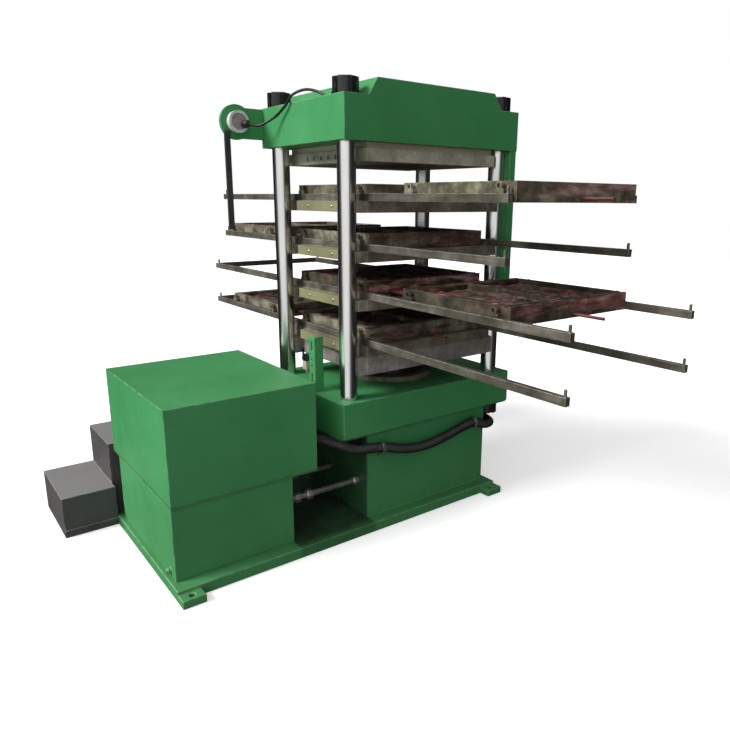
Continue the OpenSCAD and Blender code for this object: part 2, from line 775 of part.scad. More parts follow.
module conduit_clips() {
  color([0.35, 0.35, 0.36]) for (p = [conduit_run[4], conduit_run[10]])
    translate([p[0] - clip_w / 2, p[1], p[2]]) difference() {
      union() {
        rod_x(conduit_d + 4 + 2 * clip_t, 0, clip_w);
        block([0, 0, -conduit_d / 2 - 2 - clip_t], [clip_w, -bed_w / 2 - p[1], -conduit_d / 2 - 2]);
        block([0, -bed_w / 2 - p[1] - clip_t, -conduit_d / 2 - 26], [clip_w, -bed_w / 2 - p[1], -conduit_d / 2 - 2]);
      }
      rod_x(conduit_d + 4, -1, clip_w + 1);
    }
}

module conduit_gland() {
  color([0.30, 0.30, 0.31]) translate([0, gland_y, gland_z]) difference() {
    union() {
      rod_x(gland_nut_d, bed_l / 2, bed_l / 2 + 6);
      translate([bed_l / 2 + 6, 0, 0]) rotate([0, 90, 0]) cylinder(d = gland_nut_d, h = gland_nut_l - 6, $fn = 6);
    }
    rod_x(conduit_d + 0.6, bed_l / 2 + 4, bed_l / 2 + gland_nut_l + 1);
  }
}

// Arm at the rear left of the beam
module sensor_arm() {
  color([0.15, 0.42, 0.24]) difference() {
    union() {
      translate([arm_x, 0, arm_z]) rod_y(2 * arm_r, arm_y - arm_t, arm_y);
      block([arm_x, arm_y - arm_t, arm_z - arm_r + 6], [-beam_l / 2, arm_y, beam_top - 4]);
    }
    translate([arm_x, 0, arm_z]) rod_y(20, arm_y - arm_t - 1, arm_y + 1);
  }
}

// Encoder with a dished face and a short mounting shaft
module encoder_disc() {
  color([0.86, 0.85, 0.86]) translate([arm_x, 0, arm_z]) {
    difference() {
      rod_y(disc_d, arm_y - arm_t - disc_t, arm_y - arm_t);
      rod_y(disc_d - 26, arm_y - arm_t - disc_t - 1, arm_y - arm_t - disc_t + 4);
    }
    rod_y(19.6, arm_y - arm_t - 1, arm_y);
  }
}

// Plug and cable from the encoder over the beam's top edge
cable_run = [
  [arm_x + 28, arm_y - arm_t - disc_t - 34, arm_z - 10],
  [arm_x + 62, arm_y - arm_t - disc_t - 72, arm_z - 18],
  [arm_x + 104, arm_y - 0.38 * cable_reach, arm_z + 14],
  [-beam_l / 2 - 16, arm_y - 0.52 * cable_reach, beam_top - 14],
  [-beam_l / 2 - 6, arm_y - 0.62 * cable_reach, beam_top + 28],
  [-beam_l / 2 + 0.33 * cable_in, arm_y - 0.71 * cable_reach, beam_top + 48],
  [-beam_l / 2 + 0.71 * cable_in, arm_y - 0.80 * cable_reach, beam_top + 40],
  [-beam_l / 2 + 0.93 * cable_in, arm_y - 0.90 * cable_reach, cable_z + 9],
  [-beam_l / 2 + cable_in, arm_y - cable_reach, cable_z]];

module sensor_cable() {
  color([0.06, 0.06, 0.07]) {
    cord(curve(cable_run, 5), cable_d, 10);
    translate([-beam_l / 2 + cable_in, arm_y - cable_reach - 6, beam_top]) cylinder(d = plug_d, h = plug_d);
    translate([arm_x + 24, 0, arm_z - 10]) rod_y(plug_d, arm_y - arm_t - disc_t - 40, arm_y - arm_t - disc_t);
  }
}

// Flat bar that hangs from the arm
module hanger_bar() {
  color([0.16, 0.22, 0.19]) {
    block([arm_x - 65, arm_y - arm_t - 12, arm_z - 40 - hanger_l],
      [arm_x - 65 + hanger_w, arm_y - arm_t, arm_z - 40]);
  }
}

// Slotted post for the limit switch on the table's left edge
module limit_post() {
  color([0.18, 0.50, 0.27]) difference() {
    union() {
      block([post_x - post_t / 2, post_y - post_w / 2, table_top],
        [post_x + post_t / 2, post_y + post_w / 2, table_top + post_h]);
      block([post_x - post_t / 2, post_y - post_w / 2, table_top],
        [post_x + 42, post_y - post_w / 2 + post_t, table_top + post_h]);
      block([post_x - post_t / 2, post_y - post_w / 2, table_top],
        [post_x + 50, post_y + post_w / 2, table_top + post_t]);
    }
    for (z = [table_top + 40, table_top + 190])
      block([post_x - post_t, post_y - post_slot / 2, z], [post_x + post_t, post_y + post_slot / 2, z + 44]);
    for (z = [table_top + 118, table_top + 148])
      translate([0, post_y, z]) rod_x(post_slot, post_x - post_t, post_x + post_t);
  }
}

// Limit switch on the side of the post
module limit_switch() {
  color([0.78, 0.75, 0.62]) difference() {
    union() {
      block([post_x - switch_d / 2, switch_y - switch_w / 2, switch_z],
        [post_x + switch_d / 2, switch_y + switch_w / 2, switch_z + switch_h]);
      translate([post_x, switch_y, switch_z - 14]) cylinder(d = 18, h = 15, $fn = 32);
    }
    translate([0, switch_y, pivot_z]) rod_x(lever_pin_d + 0.8, post_x - switch_d / 2 - 1, post_x);
  }
}

// Lever with its pivot pin and roller end
module limit_lever() {
  color([0.12, 0.12, 0.13]) translate([0, switch_y, pivot_z]) {
    rod_x(lever_pin_d, post_x - switch_d / 2 - 8, post_x - 2);
    rod_x(18, post_x - switch_d / 2 - 8, post_x - switch_d / 2 - 0.6);
    block([post_x - switch_d / 2 - 7, -5, 0], [post_x - switch_d / 2 - 2, 5, lever_l]);
    translate([0, 0, lever_l]) rod_x(18, post_x - switch_d / 2 - 14, post_x - switch_d / 2 - 2);
  }
}

// Wiring duct that hangs from the beam's right end
module wiring_duct() {
  color([0.15, 0.42, 0.24]) difference() {
    block([duct_x, duct_y, beam_z - duct_l], [duct_x + duct_w, duct_y + duct_d, beam_z]);
    block([duct_x + 3, duct_y + 3, beam_z - duct_l - 1], [duct_x + duct_w - 3, duct_y + duct_d - 3, beam_z - 12]);
  }
}

// Two tread step beside the power unit, against the rear foot pad
module operator_step() {
  color([0.40, 0.41, 0.42]) difference() {
    union() {
      block([step_x1 - step_low_l, step_y0, 0], [step_x1, step_back, step_rise]);
      block([step_x1, step_y1, 0], [step_x1 + step_up_l, step_back, 2 * step_rise]);
    }
    block([step_x1 - step_low_l + step_t, step_y0 + step_t, -1],
      [step_x1 - step_t, step_back - step_t, step_rise - step_t]);
    block([step_x1 + step_t, step_y1 + step_t, -1],
      [step_x1 + step_up_l - step_t, step_back - step_t, 2 * step_rise - step_t]);
  }
}

// Main ram
module ram() {
  color([0.72, 0.73, 0.74]) translate([0, 0, lift_z - ram_l]) cylinder(d = ram_d, h = ram_l, $fn = 96);
}

// Half round guide shoe on a platen corner, open toward its column
module guide_shoe(t) {
  difference() {
    block([half_pl, -shoe_w / 2, -t], [half_pl + shoe_reach, shoe_w / 2, 0]);
    translate([col_x, 0, -t - 1]) cylinder(d = column_d + 2 * shoe_play, h = t + 2, $fn = 64);
  }
}

module four_shoes(t) {
  for (sx = [0, 1], sy = [-1, 1])
    mirror([sx, 0, 0]) translate([0, sy * col_y, 0]) guide_shoe(t);
}

// Ribbed table on the ram, with its own guide shoes
module moving_table() {
  color([0.46, 0.46, 0.45]) translate([0, 0, lift_z]) {
    block([-half_pl, -half_pw, lift_t - 36], [half_pl, half_pw, lift_t]);
    for (s = [-1, 1]) {
      block([-half_pl, s * (half_pw - lift_rib) - (s < 0 ? lift_rib : 0), 0],
        [half_pl, s * (half_pw - lift_rib) + (s > 0 ? lift_rib : 0), lift_t - 35]);
      block([s * (half_pl - lift_rib) - (s < 0 ? lift_rib : 0), -half_pw, 0],
        [s * (half_pl - lift_rib) + (s > 0 ? lift_rib : 0), half_pw, lift_t - 35]);
      block([s * 190 - lift_rib / 2, -half_pw, 10], [s * 190 + lift_rib / 2, half_pw, lift_t - 35]);
    }
    cylinder(d = ram_d + 40, h = lift_t - 35, $fn = 96);
    translate([0, 0, lift_t]) four_shoes(lift_t);
  }
}

module platen(k) {
  color([0.44, 0.42, 0.39]) translate([0, 0, ptop(k)]) heated_plate(platen_t);
}
module platen_1() { platen(1); }
module platen_2() { platen(2); }
module platen_3() { platen(3); }
module platen_4() { platen(4); }

// Sheet cover over the heater ends on a platen's left edge
module heater_cover(k) {
  color([0.70, 0.67, 0.48]) translate([-cover_x, 0, ptop(k) - platen_t / 2]) difference() {
    block([-cover_d, -cover_l / 2, -cover_h / 2], [0, cover_l / 2, cover_h / 2]);
    block([-cover_d + cover_wall, -cover_l / 2 + cover_wall, -cover_h / 2 + cover_wall],
      [1, cover_l / 2 - cover_wall, cover_h / 2 - cover_wall]);
    for (y = [-cover_l / 4, cover_l / 4])
      translate([0, y, 0]) rod_x(12, -cover_d - 1, -cover_d + cover_wall + 1);
  }
}
module heater_cover_1() { heater_cover(1); }
module heater_cover_2() { heater_cover(2); }
module heater_cover_3() { heater_cover(3); }
module heater_cover_4() { heater_cover(4); }

module guide_shoes(k) {
  color([0.55, 0.45, 0.24]) translate([0, 0, ptop(k)]) four_shoes(platen_t);
}
module guide_shoes_1() { guide_shoes(1); }
module guide_shoes_2() { guide_shoes(2); }
module guide_shoes_3() { guide_shoes(3); }

// Rail pair on a platen, with stop pins and, on the lower layers, a rear cross bar
module rails(k) {
  color([0.42, 0.41, 0.39]) translate([0, 0, ptop(k)]) {
    for (s = [-1, 1]) {
      block([s * rail_gauge / 2 - rail_w / 2, -railf(k), 0], [s * rail_gauge / 2 + rail_w / 2, railb(k), rail_h]);
      translate([s * rail_gauge / 2, -railf(k) + pin_inset, rail_h - 1]) cylinder(d = pin_d, h = pin_h + 1, $fn = 32);
      translate([s * rail_gauge / 2, railb(k) - cross_t - pin_inset, rail_h - 1])
        cylinder(d = pin_d, h = pin_h + 1, $fn = 32);
    }
    if (k > 2)
      block([-rail_gauge / 2 + rail_w / 2 + weld_gap, railb(k) - cross_t, 0],
        [rail_gauge / 2 - rail_w / 2 - weld_gap, railb(k), rail_h]);
  }
}
module rails_1() { rails(1); }
module rails_2() { rails(2); }
module rails_3() { rails(3); }
module rails_4() { rails(4); }

// Mould tray with two cavities, a rim groove and four eye lugs that slide on the rails
module mold_tray() {
  lug_z = rail_h + lug_play - mold_lift;
  difference() {
    block([-mold_w / 2, -mold_l / 2, 0], [mold_w / 2, mold_l / 2, mold_h]);
    for (s = [-1, 1])
      block([s * (cavity_web + cavity_w) / 2 - cavity_w / 2, -cavity_l / 2, mold_h - cavity_d],
        [s * (cavity_web + cavity_w) / 2 + cavity_w / 2, cavity_l / 2, mold_h + 1]);
    for (s = [-1, 1])
      translate([-mold_w / 2 - 1, s * (cavity_l / 2 + (mold_l - cavity_l) / 4) - rim_groove / 2, mold_h - rim_depth])
        cube([mold_w + 2, rim_groove, rim_depth + 1]);
  }
  for (sx = [0, 1], s = [-1, 1])
    mirror([sx, 0, 0]) translate([mold_w / 2, s * lug_at, lug_z]) difference() {
      union() {
        block([-1, -lug_l / 2, 0], [lug_w, lug_l / 2, 14]);
        block([lug_w - 12, -14, 0], [lug_w, 14, mold_h - lug_z - 15]);
        translate([0, 0, mold_h - lug_z - 16]) rod_x(28, lug_w - 12, lug_w);
      }
      translate([0, 0, mold_h - lug_z - 16]) rod_x(lug_eye, -1, lug_w + 1);
    }
}

module mold_front(k) {
  color([0.36, 0.33, 0.29]) translate([0, front_y(k), ptop(k) + mold_lift]) mold_tray();
}
module mold_front_1() { mold_front(1); }
module mold_front_2() { mold_front(2); }
module mold_front_3() { mold_front(3); }
module mold_front_4() { mold_front(4); }

module mold_rear(k) {
  color([0.36, 0.33, 0.29]) translate([0, front_y(k) + mold_pitch, ptop(k) + mold_lift]) mold_tray();
}
module mold_rear_1() { mold_rear(1); }
module mold_rear_2() { mold_rear(2); }
module mold_rear_3() { mold_rear(3); }
module mold_rear_4() { mold_rear(4); }

// Two bars that join the moulds of a layer, and the pull rod on the front mould
module draw_gear(k) {
  color([0.40, 0.24, 0.20]) translate([0, front_y(k), ptop(k) + mold_lift]) {
    for (s = [-1, 1])
      translate([s * draw_px / 2, 0, 0])
        block([-draw_w / 2, mold_l / 2, 20], [draw_w / 2, mold_pitch - mold_l / 2, 20 + draw_t]);
    translate([0, 0, pull_up]) rod_y(pull_d, -mold_l / 2 - pull_reach, -mold_l / 2);
  }
}
module draw_gear_1() { draw_gear(1); }
module draw_gear_2() { draw_gear(2); }
module draw_gear_3() { draw_gear(3); }
module draw_gear_4() { draw_gear(4); }

base_plate();
bed_body();
bed_table();
main_cylinder();
gland_ring();
gland_screws();
columns();
column_nuts();
top_beam();
heat_board();
top_platen();
oil_tank();
deck_plate();
power_hood();
pump_motor();
hydraulic_pump();
motor_coupling();
valve_block();
pressure_pipe();
return_pipe();
cable_conduit();
conduit_fittings();
sensor_arm();
encoder_disc();
sensor_cable();
hanger_bar();
limit_post();
limit_switch();
limit_lever();
wiring_duct();
operator_step();
ram();
moving_table();
platen_1();
platen_2();
platen_3();
platen_4();
heater_cover_1();
heater_cover_2();
heater_cover_3();
heater_cover_4();
guide_shoes_1();
guide_shoes_2();
guide_shoes_3();
rails_1();
rails_2();
rails_3();
rails_4();
mold_front_1();
mold_front_2();
mold_front_3();
mold_front_4();
mold_rear_1();
mold_rear_2();
mold_rear_3();
mold_rear_4();
draw_gear_1();
draw_gear_2();
draw_gear_3();
draw_gear_4();
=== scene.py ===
import bpy
import numpy as np
from mathutils import Matrix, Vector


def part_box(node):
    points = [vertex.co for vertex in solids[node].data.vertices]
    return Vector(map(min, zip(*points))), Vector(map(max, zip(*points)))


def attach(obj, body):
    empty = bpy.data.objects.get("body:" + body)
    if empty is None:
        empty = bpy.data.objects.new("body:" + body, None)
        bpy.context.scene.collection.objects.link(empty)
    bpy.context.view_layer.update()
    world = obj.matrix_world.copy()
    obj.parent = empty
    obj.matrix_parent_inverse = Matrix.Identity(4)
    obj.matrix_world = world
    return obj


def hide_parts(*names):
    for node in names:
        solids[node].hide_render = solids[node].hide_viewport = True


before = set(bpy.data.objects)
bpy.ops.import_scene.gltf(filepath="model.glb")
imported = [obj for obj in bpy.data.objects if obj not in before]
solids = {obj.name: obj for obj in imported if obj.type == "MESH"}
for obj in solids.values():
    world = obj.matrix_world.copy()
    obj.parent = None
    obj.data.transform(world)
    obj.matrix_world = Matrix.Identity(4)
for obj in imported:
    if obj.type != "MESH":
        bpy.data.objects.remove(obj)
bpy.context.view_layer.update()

# Studio: the press stands on a pale floor in front of a pale room. A broad
# window of light lies to its left, the right hand side of the room is dim, so
# the columns show one bright and one dark band.
image_width, focal, centre_x = 730.0, 653.4, 396.0  # in pixels
sensor_width = 36.0
eye = (-1.993, -2.625, 1.500)
yaw, pitch, roll = np.radians([52.19, 14.27, 0.4645])


def seen_from_camera(right, down, ahead):
    """A direction turned by the camera's pitch about its right hand axis, then by its roll about the line of
    sight."""
    low = down * np.cos(pitch) - ahead * np.sin(pitch)
    far = down * np.sin(pitch) + ahead * np.cos(pitch)
    return [right * np.cos(roll) - low * np.sin(roll), right * np.sin(roll) + low * np.cos(roll), far]


def stood(right, up, back, spot):
    """The matrix of an object at a spot, whose own X, Y and Z axes point right, up and back."""
    turn = np.eye(4)
    turn[:3, :3] = np.stack([right, up, back], 1)
    turn[:3, 3] = spot
    return Matrix(turn.tolist())


def shown(item):
    """Puts an object into the scene."""
    bpy.context.scene.collection.objects.link(item)
    return item


axes = np.array([
    seen_from_camera(np.sin(yaw), 0.0, np.cos(yaw)),
    seen_from_camera(-np.cos(yaw), 0.0, np.sin(yaw)),
    seen_from_camera(0.0, -1.0, 0.0)]).T
camera = shown(bpy.data.objects.new("camera", bpy.data.cameras.new("camera")))
camera.matrix_world = stood(axes[0], -axes[1], -axes[2], eye)
camera.data.sensor_width = sensor_width
camera.data.lens = focal / image_width * sensor_width
camera.data.shift_x = (image_width / 2 - centre_x) / image_width
camera.data.clip_start = 0.05
bpy.context.scene.camera = camera
bpy.context.scene.view_settings.view_transform = "Standard"
bpy.context.scene.view_settings.look = "None"


def node_of(tree, kind, **settings):
    """A new shader node of a kind, with settings such as its operation."""
    node = tree.nodes.new("ShaderNode" + kind)
    for setting, value in settings.items():
        setattr(node, setting, value)
    return node


def feed(tree, socket, given):
    """Links an output to an input, or sets the input to a number, a vector or a colour."""
    if isinstance(given, bpy.types.NodeSocket):
        tree.links.new(given, socket)
    else:
        socket.default_value = (*given, 1.0) if socket.type == "RGBA" else given


def vector_of(tree, kind, a, b=(0.0, 0.0, 0.0)):
    """One Vector Math node: a dot product or a length comes out as a number, all else as a vector."""
    node = node_of(tree, "VectorMath", operation=kind)
    feed(tree, node.inputs[0], a)
    feed(tree, node.inputs[1], b)
    return node.outputs["Value" if kind in ("DOT_PRODUCT", "LENGTH") else "Vector"]


def parts_of(tree, vector):
    """The X, Y and Z of a vector, by name."""
    node = node_of(tree, "SeparateXYZ")
    feed(tree, node.inputs[0], vector)
    return node.outputs


def ramp_of(tree, value, *stops):
    """A colour ramp over a value: each stop is its place and its colour, or a grey given as one number."""
    ramp = node_of(tree, "ValToRGB")
    feed(tree, ramp.inputs["Fac"], value)
    elements = ramp.color_ramp.elements
    last = len(stops) - 1
    for i, (place, colour) in enumerate(stops):
        stop = elements[0] if i == 0 else elements[-1] if i == last else elements.new(place)
        stop.position = place
        stop.color = (*np.broadcast_to(colour, 3), 1.0)
    return ramp.outputs["Color"]


def between(tree, value, start, end, top=1.0):
    """0 at start, top at end and a straight line between them, held level beyond both."""
    node = node_of(tree, "MapRange")
    for label, given in (("Value", value), ("From Min", start), ("From Max", end), ("To Max", top)):
        feed(tree, node.inputs[label], given)
    return node.outputs[0]


window_way = (-0.75, -0.56, 0.36)
window_glow = ((0.0, 0.04), (0.34, 0.08), (0.58, 0.45), (0.70, 2.0), (1.0, 2.4))
ceiling_start, ceiling_full, ceiling_glow = 0.30, 0.75, 0.65
room_strength = 0.42
room = bpy.data.worlds.new("studio_room")
bpy.context.scene.world = room
room.use_nodes = True
tree = room.node_tree
tree.nodes.clear()
way = node_of(tree, "TexCoord").outputs["Generated"]
glow = ramp_of(tree, vector_of(tree, "DOT_PRODUCT", way, window_way), *window_glow)
ceiling = between(tree, parts_of(tree, way)["Z"], ceiling_start, ceiling_full, ceiling_glow)
room_light, backdrop = node_of(tree, "Background"), node_of(tree, "Background")
feed(tree, room_light.inputs["Color"], vector_of(tree, "ADD", glow, ceiling))
feed(tree, room_light.inputs["Strength"], room_strength)
feed(tree, backdrop.inputs["Color"], (1.0, 1.0, 1.0))
either = node_of(tree, "MixShader")
feed(tree, either.inputs[0], node_of(tree, "LightPath").outputs["Is Camera Ray"])
feed(tree, either.inputs[1], room_light.outputs[0])
feed(tree, either.inputs[2], backdrop.outputs[0])
feed(tree, node_of(tree, "OutputWorld").inputs["Surface"], either.outputs[0])

lamp_way, lamp_distance = np.array([0.78, -0.22, -0.60]), 5.0
lamp = shown(bpy.data.objects.new("window_light", bpy.data.lights.new("window_light", "SUN")))
lamp.data.energy = 3.7
lamp.data.angle = np.radians(24)
lamp_way /= np.linalg.norm(lamp_way)
lamp_side = np.cross(lamp_way, [0.0, 0.0, 1.0])
lamp_side /= np.linalg.norm(lamp_side)
lamp.matrix_world = stood(lamp_side, np.cross(lamp_side, lamp_way), -lamp_way, lamp_way * -lamp_distance)


def mesh_piece(name, points, faces, body, material, smooth=True):
    """One object at the origin from an array of points and a list of faces, riding on a body of the press."""
    mesh = bpy.data.meshes.new(name)
    mesh.from_pydata(np.asarray(points, float).reshape(-1, 3).tolist(), [], [list(f) for f in faces])
    mesh.polygons.foreach_set("use_smooth", [smooth] * len(mesh.polygons))
    mesh.validate()
    mesh.update()
    piece = shown(bpy.data.objects.new(name, mesh))
    piece.data.materials.append(material)
    if body:
        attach(piece, body)
    return piece


def new_finish(name, metallic=0.0):
    """A new material, its shader tree and the inputs of its Principled shader."""
    material = bpy.data.materials.new(name)
    material.use_nodes = True
    tree = material.node_tree
    surface = tree.nodes["Principled BSDF"].inputs
    feed(tree, surface["Metallic"], metallic)
    return material, tree, surface


def noise_of(tree, scale, detail=4.0, stretch=(1.0, 1.0, 1.0), offset=(0.0, 0.0, 0.0), spread=0.55,
             twist=0.0):
    """Noise on Object coordinates, each axis multiplied by its stretch, so that a small number draws long
    marks."""
    at = node_of(tree, "Mapping")
    feed(tree, at.inputs["Vector"], node_of(tree, "TexCoord").outputs["Object"])
    feed(tree, at.inputs["Scale"], stretch)
    feed(tree, at.inputs["Location"], offset)
    noise = node_of(tree, "TexNoise")
    feed(tree, noise.inputs["Vector"], at.outputs["Vector"])
    for label, given in (("Scale", scale), ("Detail", detail), ("Roughness", spread), ("Distortion", twist)):
        feed(tree, noise.inputs[label], given)
    return noise.outputs["Fac"]


def blend_of(tree, mask, under, over, kind="MIX"):
    """Mixes two colours by a mask, each an output or plain numbers. A Mix node keeps its factor at input
    0, its colours at inputs 6 and 7, and the mixed colour at output 2."""
    mix = node_of(tree, "Mix", data_type="RGBA", blend_type=kind)
    for place, given in ((0, mask), (6, under), (7, over)):
        feed(tree, mix.inputs[place], given)
    return mix.outputs[2]


def math_of(tree, kind, a, b=0.0, clamp=False):
    """One Math node, where each term is an output or a number."""
    node = node_of(tree, "Math", operation=kind, use_clamp=clamp)
    feed(tree, node.inputs[0], a)
    feed(tree, node.inputs[1], b)
    return node.outputs[0]


def times(tree, a, b, clamp=False):
    """The product of two terms."""
    return math_of(tree, "MULTIPLY", a, b, clamp)


floor_reach, floor_drop, floor_glow = 16.0, 0.001, 0.45
floor_paint, tree, surface = new_finish("pale_floor")
feed(tree, surface["Roughness"], 0.75)
pale = ramp_of(tree, noise_of(tree, scale=0.7, detail=3.0), (0.35, 0.93), (0.7, 0.96))
seen = node_of(tree, "LightPath").outputs["Is Camera Ray"]
feed(tree, surface["Base Color"], blend_of(tree, seen, (0.24, 0.24, 0.24), pale))
feed(tree, surface["Emission Color"], (1.0, 1.0, 1.0))
feed(tree, surface["Emission Strength"], times(tree, seen, floor_glow))
across = np.array([-floor_reach, floor_reach])
ground = np.stack([*np.meshgrid(across, across, indexing="ij"), np.full((2, 2), -floor_drop)], -1)
floor = mesh_piece("studio_floor", ground, [(0, 2, 3, 1)], None, floor_paint, smooth=False)
floor.visible_glossy = False

# Welded frame: skid plate, bed box, bed table, top beam, tank, deck, hood and
# the small brackets are mild steel, ground at the seams and sprayed with one
# coat of machine green. Corners are rubbed, and their lighter green is partly a
# painted highlight. The lower parts carry shop dust, and between the tank and
# the bed a dark film that is partly oil and partly painted shade.


def plus(tree, a, b, clamp=False):
    """The sum of two terms."""
    return math_of(tree, "ADD", a, b, clamp)


def minus(tree, a, b, clamp=False):
    """The first term less the second."""
    return math_of(tree, "SUBTRACT", a, b, clamp)


def shared_group(name, inputs, outputs):
    """An empty shader group with named sockets: numbers in, and numbers or vectors out. Returns the group,
    what it is given and what is taken from it."""
    group = bpy.data.node_groups.new(name, "ShaderNodeTree")
    for label, value in inputs.items():
        group.interface.new_socket(label, in_out="INPUT", socket_type="NodeSocketFloat").default_value = value
    for label, kind in outputs.items():
        group.interface.new_socket(label, in_out="OUTPUT", socket_type="NodeSocket" + kind)
    return group, group.nodes.new("NodeGroupInput").outputs, group.nodes.new("NodeGroupOutput").inputs


# Rubbed edges: a rounded normal is compared with the flat one; where the two
# differ there is an edge, broken up by noise so that only parts are worn. On the
# machine green the lighter colour this mask lays on the edges is partly a
# painted highlight.
edge_gain, bare_gain = 6.0, 8.0
edge_rub_and_sheen, given, taken = shared_group(
    "edge_rub_and_sheen", {"Radius": 0.004, "Breakup": 30.0, "Cover": 0.5}, {"Mask": "Float", "Normal": "Vector"})
rounded = node_of(edge_rub_and_sheen, "Bevel", samples=6)
feed(edge_rub_and_sheen, rounded.inputs["Radius"], given["Radius"])
flat = node_of(edge_rub_and_sheen, "NewGeometry").outputs["Normal"]
facing = vector_of(edge_rub_and_sheen, "DOT_PRODUCT", rounded.outputs["Normal"], flat)
edge = times(edge_rub_and_sheen, minus(edge_rub_and_sheen, 1.0, facing, clamp=True), edge_gain, clamp=True)
patchy = noise_of(edge_rub_and_sheen, given["Breakup"], detail=5.0, spread=0.5)
bare = minus(edge_rub_and_sheen, plus(edge_rub_and_sheen, patchy, given["Cover"]), 1.0, clamp=True)
bare = times(edge_rub_and_sheen, bare, bare_gain, clamp=True)
feed(edge_rub_and_sheen, taken["Mask"], times(edge_rub_and_sheen, edge, bare, clamp=True))
feed(edge_rub_and_sheen, taken["Normal"], rounded.outputs["Normal"])

# Shop dust: a mask that is strongest near the floor and on up-facing surfaces,
# broken by two sizes of noise.
dust_top, speck_finer, speck_share = 0.55, 14.0, 0.4
shop_dust, given, taken = shared_group(
    "shop_dust", {"Low": 0.5, "Flat": 0.35, "Scale": 6.0}, {"Mask": "Float"})
height = parts_of(shop_dust, node_of(shop_dust, "TexCoord").outputs["Object"])["Z"]
up = parts_of(shop_dust, node_of(shop_dust, "NewGeometry").outputs["Normal"])["Z"]
low = times(shop_dust, between(shop_dust, height, dust_top, 0.0), given["Low"])
top = times(shop_dust, math_of(shop_dust, "MAXIMUM", up, 0.0), given["Flat"])
cloud = noise_of(shop_dust, given["Scale"], detail=6.0, spread=0.5)
speck = noise_of(shop_dust, times(shop_dust, given["Scale"], speck_finer), detail=3.0, spread=0.5)
broken = plus(shop_dust, cloud, times(shop_dust, speck, speck_share))
feed(shop_dust, taken["Mask"], times(shop_dust, plus(shop_dust, low, top), broken, clamp=True))


def shared(tree, group, **values):
    """The outputs of a shared group that is placed in a material with its own input values."""
    node = node_of(tree, "Group", node_tree=group)
    for label, value in values.items():
        feed(tree, node.inputs[label], value)
    return node.outputs


def bump_of(tree, height, strength, depth, normal=None):
    """A bumped normal: how strongly a height is felt, how deep it goes, and the normal that lies under it."""
    bump = node_of(tree, "Bump")
    feed(tree, bump.inputs["Strength"], strength)
    feed(tree, bump.inputs["Distance"], depth)
    feed(tree, bump.inputs["Height"], height)
    if normal:
        feed(tree, bump.inputs["Normal"], normal)
    return bump.outputs["Normal"]


def oil_and_shade_film(tree, middle, half, full_to, clear_from):
    """Mask of a dark film on a stretch along X, partly oil and partly painted shade: patchy within half of
    its middle, with a ragged border towards the front and the back, where |Y| grows from full_to to
    clear_from."""
    border, ragged_by = 0.012, 0.09
    spot = parts_of(tree, node_of(tree, "TexCoord").outputs["Object"])
    off = math_of(tree, "ABSOLUTE", minus(tree, spot["X"], middle))
    along = between(tree, off, half, half - border)
    ragged = times(tree, noise_of(tree, scale=9.0, detail=5.0, offset=(1.3, 0.2, 0.0)), ragged_by)
    aside = minus(tree, math_of(tree, "ABSOLUTE", spot["Y"]), ragged)
    inside = between(tree, aside, clear_from, full_to)
    patches = ramp_of(tree, noise_of(tree, scale=6.0, detail=6.0), (0.30, 0.70), (0.62, 0.94))
    return times(tree, times(tree, along, inside), patches)


def enamel(name, colour, deep, chip_and_sheen, rub=0.003, cover=0.42, dust=0.5, flat_dust=0.22, gloss=(0.28, 0.46),
           peel=0.00016, soil=(0.10, 0.085, 0.060), specular=0.5, oily_shaded=None):
    """Sprayed coat: two tones drift over the sheet, dust lies low down, chips show along the edges, and
    the coat has an orange peel bump. On the machine green the lighter chip colour is partly a painted
    highlight. The stretch that oily_shaded gives, as oil_and_shade_film takes it, has a dark film that is
    partly oil and partly painted shade."""
    soil_share, dust_dulls, oil_and_shade = 0.55, 0.3, (0.011, 0.012, 0.009)
    material, tree, surface = new_finish(name)
    drift = noise_of(tree, scale=2.2, detail=5.0, offset=(3.1, 0.4, 1.7))
    drift = ramp_of(tree, drift, (0.30, deep), (0.72, colour))
    streak = noise_of(tree, scale=9.0, detail=5.0, stretch=(1.0, 1.0, 0.16))
    tone = blend_of(tree, ramp_of(tree, streak, (0.46, 0.0), (0.80, 0.34)), drift, deep)
    dirt = shared(tree, shop_dust, Low=dust, Flat=flat_dust, Scale=5.0)["Mask"]
    tone = blend_of(tree, times(tree, dirt, soil_share), tone, soil)
    edge = shared(tree, edge_rub_and_sheen, Radius=rub, Breakup=24.0, Cover=cover)
    tone = blend_of(tree, edge["Mask"], tone, chip_and_sheen)
    if oily_shaded:
        tone = blend_of(tree, oil_and_shade_film(tree, *oily_shaded), tone, oil_and_shade)
    feed(tree, surface["Base Color"], tone)
    rough = ramp_of(tree, noise_of(tree, scale=12.0), (0.3, gloss[0]), (0.75, gloss[1]))
    feed(tree, surface["Roughness"], plus(tree, rough, times(tree, dirt, dust_dulls), clamp=True))
    feed(tree, surface["Specular IOR Level"], specular)
    orange_peel = noise_of(tree, scale=260.0, detail=2.0)
    uneven = bump_of(tree, orange_peel, strength=0.55, depth=peel, normal=edge["Normal"])
    feed(tree, surface["Normal"], uneven)
    return material


def corners(name):
    """The lowest and the highest corner of a CAD node at rest."""
    return [np.array(corner, float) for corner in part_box(name)]


bed_lo, bed_hi = corners("bed_body")
tank_hi = corners("oil_tank")[1]
gap_mid, gap_half = (tank_hi[0] + bed_lo[0]) / 2, (bed_lo[0] - tank_hi[0]) / 2
film_over, film_inset, film_fade = 0.010, 0.030, 0.060
